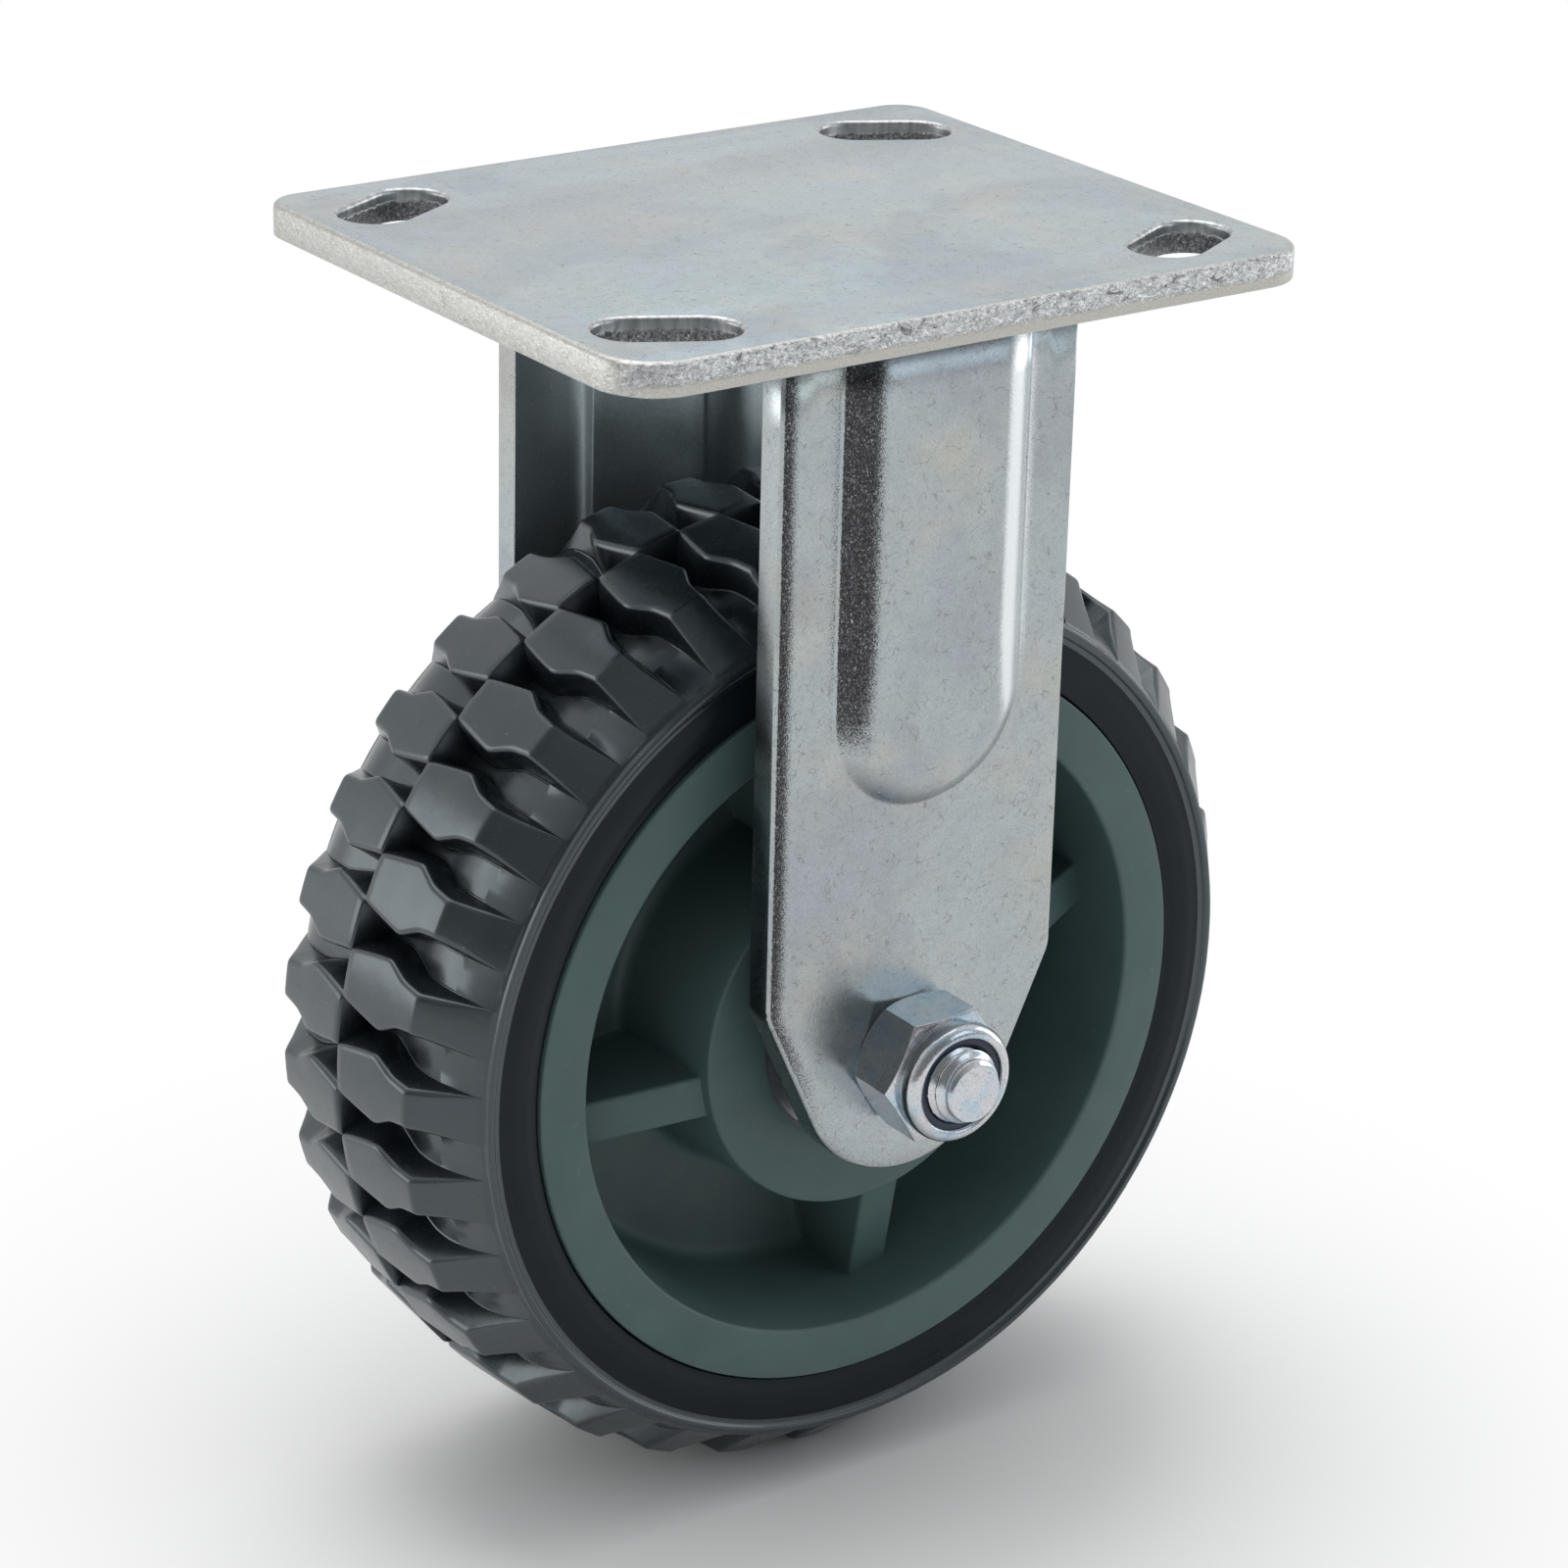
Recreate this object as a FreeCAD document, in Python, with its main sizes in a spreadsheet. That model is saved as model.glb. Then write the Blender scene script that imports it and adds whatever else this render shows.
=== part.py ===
import FreeCAD, Part
import math
import os
import Sketcher

# Fixed castor: a top plate with two ribbed legs that carry a 6 inch wheel on a through bolt.
# Units are millimetres. The origin is the centre of the mounting face, +Z is up, the wheel
# rolls along X, and the nut is on the -Y side.

Vector = FreeCAD.Vector

SIZES = [
    # Top plate and its four slanted bolt slots
    ("plate_length", 118.6),
    ("plate_width", 100.0),
    ("plate_thickness", 5.0),
    ("plate_corner_radius", 7.5),
    ("slot_width", 11.0),
    ("slot_outer_margin_x", 10.45),
    ("slot_outer_margin_y", 16.05),
    ("slot_inner_margin_x", 18.95),
    ("slot_inner_margin_y", 11.55),
    # Legs, with a rib pressed outward down the middle of each
    ("axle_drop", 118.8),
    ("leg_clearance", 5.9),
    ("leg_thickness", 5.0),
    ("leg_width", 52.0),
    ("leg_taper_drop", 107.3),
    ("leg_end_radius", 18.8),
    ("leg_corner_radius", 6.0),
    ("rib_foot_width", 31.2),
    ("rib_crown_width", 21.4),
    ("rib_height", 3.2),
    ("rib_end_drop", 62.8),
    ("weld_size", 3.6),
    ("weld_fullness", 0.62),
    ("weld_end_margin", 1.2),
    # Through bolt, lock nut and the tube that the bolt clamps
    ("bolt_radius", 5.95),
    ("bolt_hole_clearance", 0.3),
    ("bolt_reach", 16.5),
    ("bolt_point_radius", 4.3),
    ("bolt_point_length", 1.2),
    ("bolt_head_height", 7.5),
    ("hex_across_flats", 19.0),
    ("hex_turn", 2.6),
    ("hex_bevel_angle", 35.0),
    ("nut_hex_height", 8.6),
    ("nut_collar_height", 3.8),
    ("nut_collar_radius", 9.35),
    ("nut_collar_bevel", 1.1),
    ("nut_mouth_radius", 7.1),
    ("insert_radius", 7.9),
    ("insert_length", 2.6),
    ("insert_inset", 0.7),
    ("sleeve_radius", 7.5),
    ("sleeve_bore_clearance", 0.2),
    ("side_spacer_radius", 10.2),
    ("centre_spacer_radius", 9.6),
    # Two deep groove ball bearings
    ("bearing_radius", 17.5),
    ("bearing_width", 11.0),
    ("bearing_inset", 1.5),
    ("inner_race_radius", 10.6),
    ("outer_race_radius", 14.6),
    ("ball_radius", 2.98),
    ("ball_count", 8),
    ("ball_sides", 8),
    ("ball_play", 0.06),
    ("cage_thickness", 1.8),
    ("cage_rim", 0.8),
    ("shield_thickness", 0.4),
    ("shield_inset", 0.4),
    ("shield_seat_depth", 0.8),
    ("shield_gap", 0.35),
    ("fit_clearance", 0.03),
    # Wheel core: rim, closed web, hub and four spokes on each side
    ("core_width", 52.8),
    ("rim_radius", 57.95),
    ("rim_lip_radius", 50.0),
    ("rim_root_radius", 47.2),
    ("rim_lip_bevel", 0.7),
    ("web_thickness", 8.0),
    ("web_bevel", 2.2),
    ("hub_radius", 28.7),
    ("hub_root_radius", 29.8),
    ("hub_edge_bevel", 0.5),
    ("hub_bore_radius", 13.4),
    ("hub_mouth_bevel", 1.0),
    ("spoke_count", 4),
    ("spoke_width", 7.1),
    ("spoke_hub_inset", 1.9),
    ("spoke_rim_inset", 10.6),
    ("spoke_turn", 10.8),
    # Tyre with two staggered rows of six sided lugs. Each inset is in from the core's face.
    ("tyre_radius", 76.2),
    ("tread_edge_radius", 75.1),
    ("tread_edge_inset", 8.9),
    ("shoulder_radius", 67.7),
    ("shoulder_inset", 0.9),
    ("ridge_radius", 66.5),
    ("ridge_reach", 0.3),
    ("ridge_round", 0.5),
    ("sidewall_radius", 65.2),
    ("sidewall_inset", 0.3),
    ("bead_radius", 59.0),
    ("bead_inset", 0.5),
    ("lug_count", 32),
    ("lug_neck", 0.4),
    ("lug_waist_width", 10.3),
    ("lug_waist_offset", 7.8),
    ("lug_edge_width", 6.2),
    ("groove_draft", 12.0),
    ("groove_centre_depth", 6.4),
    ("groove_waist_depth", 5.8),
    ("groove_edge_depth", 4.6),
    ("groove_end_width", 4.3),
    ("groove_end_inset", 1.2),
    ("groove_end_radius", 68.2),
    ("groove_overcut", 3.0),
    ("tread_turn", 4.5),
]

doc = FreeCAD.newDocument("fixed_castor")
sheet = doc.addObject("Spreadsheet::Sheet", "Sizes")
for row, (alias, value) in enumerate(SIZES, start=1):
    sheet.set("A%d" % row, alias)
    sheet.set("B%d" % row, str(value))
    sheet.setAlias("B%d" % row, alias)
doc.recompute()

# Every expression names its sizes through the sheet
S = "Sizes."
CORE_FACE = "(Sizes.core_width / 2)"
LEG_INNER = "(Sizes.core_width / 2 + Sizes.leg_clearance)"
LEG_OUTER = "(Sizes.core_width / 2 + Sizes.leg_clearance + Sizes.leg_thickness)"
TREAD_EDGE = "(Sizes.core_width / 2 - Sizes.tread_edge_inset)"
BEARING_FACE = "(Sizes.core_width / 2 - Sizes.bearing_inset)"
BEARING_MIDDLE = "(Sizes.core_width / 2 - Sizes.bearing_inset - Sizes.bearing_width / 2)"
BEARING_BACK = "(Sizes.core_width / 2 - Sizes.bearing_inset - Sizes.bearing_width)"
BALL_CIRCLE = "((Sizes.inner_race_radius + Sizes.outer_race_radius) / 2)"
BALL_TRACK = "(Sizes.ball_radius + Sizes.ball_play)"

subparts = []


def number(expression):
    return float(sheet.evalExpression(expression))


def negative(expression):
    return "-(" + expression + ")"


def times(sign, expression):
    return expression if sign > 0 else negative(expression)


# Sketch helpers

def start_body(label):
    body = doc.addObject("PartDesign::Body", label)
    body.Label = label
    subparts.append(body)
    return body


def origin_feature(body, role):
    return [item for item in body.Origin.OriginFeatures if item.Role == role][0]


def start_sketch(body, name, role, offset=None):
    sketch = body.newObject("Sketcher::SketchObject", name)
    sketch.AttachmentSupport = [(origin_feature(body, role), "")]
    sketch.MapMode = "FlatFace"
    if offset is not None:
        sketch.setExpression("AttachmentOffset.Base.z", offset)
    return sketch


def constrain(sketch, kind, references, expression):
    datum = Sketcher.Constraint(kind, *references, number(expression))
    index = sketch.addConstraint(datum)
    sketch.setExpression("Constraints[%d]" % index, expression)


def place_point(sketch, geometry, position, across, up):
    constrain(sketch, "DistanceX", (-1, 1, geometry, position), across)
    constrain(sketch, "DistanceY", (-1, 1, geometry, position), up)


def circle(sketch, across, up, radius):
    centre = Vector(number(across), number(up), 0)
    index = sketch.addGeometry(Part.Circle(centre, Vector(0, 0, 1), number(radius)))
    place_point(sketch, index, 3, across, up)
    constrain(sketch, "Radius", (index,), radius)


def polygon(sketch, across, up, radius, sides, turn_angle):
    """A regular polygon about a centre, with its first corner at an angle from +across."""
    corners = []
    for i in range(sides):
        angle = "(%s + %d * 360 / %d)" % (turn_angle, i, sides)
        corners.append((
            "%s + (%s) * cos%s" % (across, radius, angle),
            "%s + (%s) * sin%s" % (up, radius, angle)))
    outline(sketch, corners)


def stadium(sketch, start, end, radius):
    """A slot outline about two centres, each a pair of expressions."""
    first = Vector(number(start[0]), number(start[1]), 0)
    second = Vector(number(end[0]), number(end[1]), 0)
    size = number(radius)
    angle = math.atan2(second.y - first.y, second.x - first.x)
    side = Vector(-math.sin(angle), math.cos(angle), 0) * size
    quarter = math.pi / 2
    near = Part.ArcOfCircle(
        Part.Circle(first, Vector(0, 0, 1), size), angle + quarter, angle + 3 * quarter)
    far = Part.ArcOfCircle(
        Part.Circle(second, Vector(0, 0, 1), size), angle - quarter, angle + quarter)
    arc_a = sketch.addGeometry(near)
    arc_b = sketch.addGeometry(far)
    line_low = sketch.addGeometry(Part.LineSegment(first - side, second - side))
    line_high = sketch.addGeometry(Part.LineSegment(second + side, first + side))
    joints = [
        (arc_a, 2, line_low, 1),
        (line_low, 2, arc_b, 1),
        (arc_b, 2, line_high, 1),
        (line_high, 2, arc_a, 1),
    ]
    for joint in joints:
        sketch.addConstraint(Sketcher.Constraint("Tangent", *joint))
    sketch.addConstraint(Sketcher.Constraint("Equal", arc_a, arc_b))
    place_point(sketch, arc_a, 3, start[0], start[1])
    place_point(sketch, arc_b, 3, end[0], end[1])
    constrain(sketch, "Radius", (arc_a,), radius)


def tangent_point(outside, centre, radius, side):
    """Where a line from a point touches a circle, on its left (1) or right (-1) side."""
    reach = outside - centre
    spread = math.acos(min(1.0, radius / reach.Length))
    angle = math.atan2(reach.y, reach.x) + side * spread
    return centre + Vector(math.cos(angle), math.sin(angle), 0) * radius


def outline(sketch, corners):
    """A closed outline, run anticlockwise. A corner is (across, up), or (across, up, radius)
    for one that is rounded, or (across, up, radius, "centre") for an arc about that point."""
    count = len(corners)
    place = [Vector(number(item[0]), number(item[1]), 0) for item in corners]
    enter = list(place)
    leave = list(place)
    for i, item in enumerate(corners):
        before = place[i - 1]
        after = place[(i + 1) % count]
        if len(item) == 4:
            radius = number(item[2])
            enter[i] = tangent_point(before, place[i], radius, 1)
            leave[i] = tangent_point(after, place[i], radius, -1)
        elif len(item) == 3:
            incoming = (before - place[i]).normalize()
            outgoing = (after - place[i]).normalize()
            half = incoming.getAngle(outgoing) / 2
            setback = number(item[2]) / math.tan(half)
            enter[i] = place[i] + incoming * setback
            leave[i] = place[i] + outgoing * setback
    lines = []
    for i in range(count):
        segment = Part.LineSegment(leave[i], enter[(i + 1) % count])
        lines.append(sketch.addGeometry(segment))
    for i, item in enumerate(corners):
        line_in = lines[i - 1]
        line_out = lines[i]
        if len(item) == 2:
            sketch.addConstraint(Sketcher.Constraint("Coincident", line_in, 2, line_out, 1))
            place_point(sketch, line_out, 1, item[0], item[1])
            continue
        arc, start, end = add_arc(sketch, place, enter, leave, i, item)
        sketch.addConstraint(Sketcher.Constraint("Tangent", line_in, 2, arc, start))
        sketch.addConstraint(Sketcher.Constraint("Tangent", line_out, 1, arc, end))
        constrain(sketch, "Radius", (arc,), item[2])
        if len(item) == 4:
            place_point(sketch, arc, 3, item[0], item[1])
        else:
            point = sketch.addGeometry(Part.Point(place[i]), True)
            sketch.addConstraint(Sketcher.Constraint("PointOnObject", point, 1, line_in))
            sketch.addConstraint(Sketcher.Constraint("PointOnObject", point, 1, line_out))
            place_point(sketch, point, 1, item[0], item[1])


def add_arc(sketch, place, enter, leave, i, item):
    """The arc of one corner, with the position numbers of its two ends."""
    radius = number(item[2])
    if len(item) == 4:
        centre = place[i]
        turns_left = True
    else:
        bisector = (enter[i] - place[i]) + (leave[i] - place[i])
        half = (enter[i] - place[i]).getAngle(leave[i] - place[i]) / 2
        centre = place[i] + bisector.normalize() * (radius / math.sin(half))
        cross = (place[i] - enter[i]).cross(leave[i] - place[i])
        turns_left = cross.z > 0
    angle_in = math.atan2(enter[i].y - centre.y, enter[i].x - centre.x)
    angle_out = math.atan2(leave[i].y - centre.y, leave[i].x - centre.x)
    ring = Part.Circle(centre, Vector(0, 0, 1), radius)
    if turns_left:
        return sketch.addGeometry(Part.ArcOfCircle(ring, angle_in, angle_out)), 1, 2
    return sketch.addGeometry(Part.ArcOfCircle(ring, angle_out, angle_in)), 2, 1


# Feature helpers. Profiles of turned pieces are (distance along the axle, radius).

def pad(body, sketch, length, both_ways=False):
    feature = body.newObject("PartDesign::Pad", sketch.Name + "_pad")
    feature.Profile = sketch
    feature.setExpression("Length", length)
    feature.Midplane = both_ways
    sketch.Visibility = False
    return feature


def turn(body, sketch, kind="Revolution"):
    feature = body.newObject("PartDesign::" + kind, sketch.Name + "_turn")
    feature.Profile = sketch
    feature.ReferenceAxis = (sketch, ["H_Axis"])
    feature.Angle = 360
    return feature


def turned_body(label, corners):
    body = start_body(label)
    sketch = start_sketch(body, label + "_section", "YZ_Plane")
    outline(sketch, corners)
    turn(body, sketch)
    return body


def ring_section(low, high, inner, outer):
    return [(low, inner), (high, inner), (high, outer), (low, outer)]


def cut_turned(body, name, corners):
    sketch = start_sketch(body, name, "YZ_Plane")
    outline(sketch, corners)
    return turn(body, sketch, "Groove")


def loft(body, name, sketches, kind):
    feature = body.newObject("PartDesign::" + kind, name)
    feature.Profile = sketches[0]
    feature.Sections = sketches[1:]
    feature.Ruled = True
    feature.Closed = False
    return feature


def pattern(body, originals, count):
    feature = body.newObject("PartDesign::PolarPattern", originals[0].Name + "_pattern")
    feature.Originals = originals
    feature.Axis = (origin_feature(body, "Y_Axis"), [""])
    feature.Angle = 360
    feature.setExpression("Occurrences", count)
    body.Tip = feature
    return feature


def put_on_axle(body, turn_angle=None):
    """Lowers a piece to the axle, and may turn it about the axle, from +X towards +Z."""
    if turn_angle is not None:
        turned = FreeCAD.Rotation(Vector(0, -1, 0), number(turn_angle))
        body.Placement = FreeCAD.Placement(Vector(0, 0, 0), turned)
        body.setExpression("Placement.Rotation.Angle", turn_angle)
    body.setExpression("Placement.Base.z", negative(S + "axle_drop"))


# Frame

def build_top_plate():
    body = start_body("top_plate")
    sketch = start_sketch(body, "plate_outline", "XY_Plane", negative(S + "plate_thickness"))
    half_x = "Sizes.plate_length / 2"
    half_y = "Sizes.plate_width / 2"
    corner = S + "plate_corner_radius"
    outline(sketch, [
        (negative(half_x), negative(half_y), corner),
        (half_x, negative(half_y), corner),
        (half_x, half_y, corner),
        (negative(half_x), half_y, corner),
    ])
    pad(body, sketch, S + "plate_thickness")
    slots = start_sketch(body, "plate_slots", "XY_Plane")
    for side_x in (-1, 1):
        for side_y in (-1, 1):
            outer_end = (
                times(side_x, half_x + " - Sizes.slot_outer_margin_x"),
                times(side_y, half_y + " - Sizes.slot_outer_margin_y"))
            inner_end = (
                times(side_x, half_x + " - Sizes.slot_inner_margin_x"),
                times(side_y, half_y + " - Sizes.slot_inner_margin_y"))
            stadium(slots, inner_end, outer_end, "Sizes.slot_width / 2")
    pocket = body.newObject("PartDesign::Pocket", "plate_slots_cut")
    pocket.Profile = slots
    pocket.Type = "ThroughAll"


def rib_outline(body, name, side, width, distance):
    """One layer of the rib: straight sides from the plate down to a full round end."""
    sketch = start_sketch(body, name, "XZ_Plane", times(-side, distance))
    top = negative(S + "plate_thickness")
    outline(sketch, [
        ("(" + width + ") / 2", top),
        ("-(" + width + ") / 2", top),
        ("0", negative(S + "rib_end_drop"), "(" + width + ") / 2", "centre"),
    ])
    return sketch


def build_leg(label, side):
    """A flat pressed leg. Its rib stands out on the outer face and is hollow on the inner."""
    body = start_body(label)
    sketch = start_sketch(body, label + "_outline", "XZ_Plane", times(-side, LEG_INNER))
    half = "Sizes.leg_width / 2"
    top = negative(S + "plate_thickness")
    taper = negative(S + "leg_taper_drop")
    outline(sketch, [
        (half, top),
        (negative(half), top),
        (negative(half), taper, S + "leg_corner_radius"),
        ("0", negative(S + "axle_drop"), S + "leg_end_radius", "centre"),
        (half, taper, S + "leg_corner_radius"),
    ])
    plate = pad(body, sketch, S + "leg_thickness")
    plate.Reversed = side > 0
    # The sheet keeps its thickness over the rib, so the hollow is narrower than the rib
    run = "(Sizes.rib_foot_width - Sizes.rib_crown_width) / 2"
    shift = "Sizes.leg_thickness * tan(atan(Sizes.rib_height / (" + run + ")) / 2)"
    foot = S + "rib_foot_width"
    crown = S + "rib_crown_width"
    loft(body, label + "_rib", [
        rib_outline(body, label + "_rib_foot", side, foot, LEG_OUTER),
        rib_outline(body, label + "_rib_crown", side, crown, LEG_OUTER + " + Sizes.rib_height"),
    ], "AdditiveLoft")
    loft(body, label + "_hollow", [
        rib_outline(body, label + "_hollow_foot", side, foot + " - 2 * " + shift, LEG_INNER),
        rib_outline(body, label + "_hollow_crown", side, crown + " - 2 * " + shift,
                    LEG_INNER + " + Sizes.rib_height"),
    ], "SubtractiveLoft")
    holes = start_sketch(body, label + "_hole", "XZ_Plane", times(-side, LEG_INNER))
    circle(holes, "0", negative(S + "axle_drop"), "Sizes.bolt_radius + Sizes.bolt_hole_clearance")
    pocket = body.newObject("PartDesign::Pocket", label + "_hole_cut")
    pocket.Profile = holes
    pocket.Type = "ThroughAll"
    pocket.Midplane = True


def build_weld(label, side):
    """A fillet weld under the plate that follows the outer face of the leg round its rib."""
    body = start_body(label)
    path = start_sketch(body, label + "_path", "XY_Plane", negative(S + "plate_thickness"))
    face = times(side, LEG_OUTER)
    crown = times(side, LEG_OUTER + " + Sizes.rib_height")
    end = "Sizes.leg_width / 2 - Sizes.weld_end_margin"
    foot = "Sizes.rib_foot_width / 2"
    top = "Sizes.rib_crown_width / 2"
    stops = [
        (negative(end), face), (negative(foot), face), (negative(top), crown),
        (top, crown), (foot, face), (end, face),
    ]
    points = [Vector(number(across), number(up), 0) for across, up in stops]
    for i in range(len(points) - 1):
        path.addGeometry(Part.LineSegment(points[i], points[i + 1]))
    for i in range(len(points) - 2):
        path.addConstraint(Sketcher.Constraint("Coincident", i, 2, i + 1, 1))
    for i, (across, up) in enumerate(stops[:-1]):
        place_point(path, i, 1, across, up)
    place_point(path, len(stops) - 2, 2, stops[-1][0], stops[-1][1])
    section = start_sketch(body, label + "_section", "YZ_Plane", negative(end))
    bulge = " + Sizes.weld_size * Sizes.weld_fullness"
    level = negative(S + "plate_thickness")
    outline(section, [
        (face, level),
        (times(side, LEG_OUTER + " + Sizes.weld_size"), level),
        (times(side, LEG_OUTER + bulge), negative("Sizes.plate_thickness" + bulge)),
        (face, negative("Sizes.plate_thickness + Sizes.weld_size")),
    ])
    bead = body.newObject("PartDesign::AdditivePipe", label + "_bead")
    bead.Profile = section
    bead.Spine = (path, ["Edge%d" % i for i in range(1, len(stops))])
    bead.Transition = "Right corner"


# Bolt, nut and the clamped tube

def hexagon(sketch):
    polygon(sketch, "0", "0", "Sizes.hex_across_flats / 2 / cos(30)", 6, S + "hex_turn")


def hex_bevel(body, name, end, inward):
    """Turns the sharp corners off one end of a hexagon, which goes inward along 1 or -1."""
    flat = "Sizes.hex_across_flats / 2"
    beyond = S + "hex_across_flats"
    depth = "Sizes.hex_across_flats / 2 * tan(Sizes.hex_bevel_angle)"
    start = (end, flat)
    outer = (end, beyond)
    inner = (end + " + " + times(inward, depth), beyond)
    cut_turned(body, name, [start, inner, outer] if inward > 0 else [start, outer, inner])


def build_axle_bolt():
    body = start_body("axle_bolt")
    head = start_sketch(body, "head_hexagon", "XZ_Plane", negative(LEG_OUTER))
    hexagon(head)
    head_pad = pad(body, head, S + "bolt_head_height")
    head_pad.Reversed = True
    shank = start_sketch(body, "shank_section", "YZ_Plane")
    end = negative(LEG_OUTER + " + Sizes.bolt_reach")
    shoulder = negative(LEG_OUTER + " + Sizes.bolt_reach - Sizes.bolt_point_length")
    inside_head = LEG_OUTER + " + Sizes.bolt_head_height / 2"
    outline(shank, [
        (end, "0"),
        (inside_head, "0"),
        (inside_head, S + "bolt_radius"),
        (shoulder, S + "bolt_radius"),
        (end, S + "bolt_point_radius"),
    ])
    turn(body, shank)
    hex_bevel(body, "head_bevel", LEG_OUTER + " + Sizes.bolt_head_height", -1)
    put_on_axle(body)


def build_lock_nut():
    body = start_body("lock_nut")
    blank = start_sketch(body, "nut_hexagon", "XZ_Plane", LEG_OUTER)
    hexagon(blank)
    pad(body, blank, S + "nut_hex_height")
    hex_end = negative(LEG_OUTER + " + Sizes.nut_hex_height")
    end = negative(LEG_OUTER + " + Sizes.nut_hex_height + Sizes.nut_collar_height")
    hex_bevel(body, "nut_outer_bevel", hex_end, 1)
    hex_bevel(body, "nut_seat_bevel", negative(LEG_OUTER), -1)
    collar = start_sketch(body, "nut_collar_section", "YZ_Plane")
    outline(collar, [
        (end, "0"),
        (hex_end + " + Sizes.nut_hex_height / 2", "0"),
        (hex_end + " + Sizes.nut_hex_height / 2", S + "nut_mouth_radius"),
        (hex_end, S + "nut_collar_radius"),
        (end + " + Sizes.nut_collar_bevel", S + "nut_collar_radius"),
        (end, "Sizes.nut_collar_radius - Sizes.nut_collar_bevel"),
    ])
    turn(body, collar)
    insert_end = end + " + Sizes.insert_inset"
    insert_start = end + " + Sizes.insert_inset + Sizes.insert_length"
    bore = "Sizes.bolt_radius + Sizes.fit_clearance"
    seat = "Sizes.insert_radius + Sizes.fit_clearance"
    cut_turned(body, "nut_bore", [
        (end, "0"),
        (negative(LEG_OUTER), "0"),
        (negative(LEG_OUTER), bore),
        (insert_start, bore),
        (insert_start, seat),
        (insert_end, seat),
        (insert_end, S + "nut_mouth_radius"),
        (end, S + "nut_mouth_radius"),
    ])
    put_on_axle(body)
    insert = turned_body("lock_nut_insert", ring_section(
        insert_end, insert_start, bore, S + "insert_radius"))
    put_on_axle(insert)


def build_clamped_tube():
    bore = "Sizes.bolt_radius + Sizes.sleeve_bore_clearance"
    seat = "Sizes.sleeve_radius + Sizes.fit_clearance"
    sleeve = turned_body("axle_sleeve", ring_section(
        negative(LEG_INNER), LEG_INNER, bore, S + "sleeve_radius"))
    put_on_axle(sleeve)
    nut_side = turned_body("nut_side_spacer", ring_section(
        negative(LEG_INNER), negative(BEARING_FACE), seat, S + "side_spacer_radius"))
    put_on_axle(nut_side)
    head_side = turned_body("head_side_spacer", ring_section(
        BEARING_FACE, LEG_INNER, seat, S + "side_spacer_radius"))
    put_on_axle(head_side)
    centre = turned_body("centre_spacer", ring_section(
        negative(BEARING_BACK), BEARING_BACK, seat, S + "centre_spacer_radius"))
    put_on_axle(centre)


# Bearings

def shield_section(middle, direction):
    """One pressed shield, seated in the outer race at its +Y (1) or -Y (-1) end."""
    face = "Sizes.bearing_width / 2 - Sizes.shield_inset"
    outer = middle + " + " + times(direction, "(" + face + ")")
    inner = middle + " + " + times(direction, "(" + face + " - Sizes.shield_thickness)")
    rim = "Sizes.outer_race_radius + Sizes.shield_seat_depth - Sizes.fit_clearance"
    hole = "Sizes.inner_race_radius + Sizes.shield_gap"
    if direction > 0:
        return ring_section(inner, outer, hole, rim)
    return ring_section(outer, inner, hole, rim)


def build_balls(prefix, middle):
    """Balls with few faces: each is a stack of polygons whose corners lie on its sphere."""
    balls = start_body(prefix + "_balls")
    sides = int(number(S + "ball_sides"))
    levels = []
    for latitude in (-60, -30, 0, 30, 60):
        height = middle + " + Sizes.ball_radius * sin(%d)" % latitude
        name = "%s_ball_level_%d" % (prefix, len(levels))
        level = start_sketch(balls, name, "XZ_Plane", negative(height))
        polygon(level, "0", BALL_CIRCLE, "Sizes.ball_radius * cos(%d)" % latitude, sides, "0")
        levels.append(level)
    ball = loft(balls, prefix + "_ball", levels, "AdditiveLoft")
    pattern(balls, [ball], S + "ball_count")
    put_on_axle(balls)


def build_cage(prefix, middle):
    """A ring between the races with a window for each ball."""
    half_cage = "(Sizes.ball_radius + Sizes.cage_rim)"
    cage = turned_body(prefix + "_ball_cage", ring_section(
        middle + " - " + half_cage, middle + " + " + half_cage,
        BALL_CIRCLE + " - Sizes.cage_thickness / 2", BALL_CIRCLE + " + Sizes.cage_thickness / 2"))
    window = start_sketch(cage, prefix + "_cage_window", "XY_Plane")
    outline(window, [
        (negative(BALL_TRACK), middle + " - " + BALL_TRACK),
        (BALL_TRACK, middle + " - " + BALL_TRACK),
        (BALL_TRACK, middle + " + " + BALL_TRACK),
        (negative(BALL_TRACK), middle + " + " + BALL_TRACK),
    ])
    pocket = cage.newObject("PartDesign::Pocket", prefix + "_cage_window_cut")
    pocket.Profile = window
    pocket.setExpression("Length", S + "bearing_radius")
    pocket.Reversed = True
    pattern(cage, [pocket], S + "ball_count")
    put_on_axle(cage)


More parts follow.
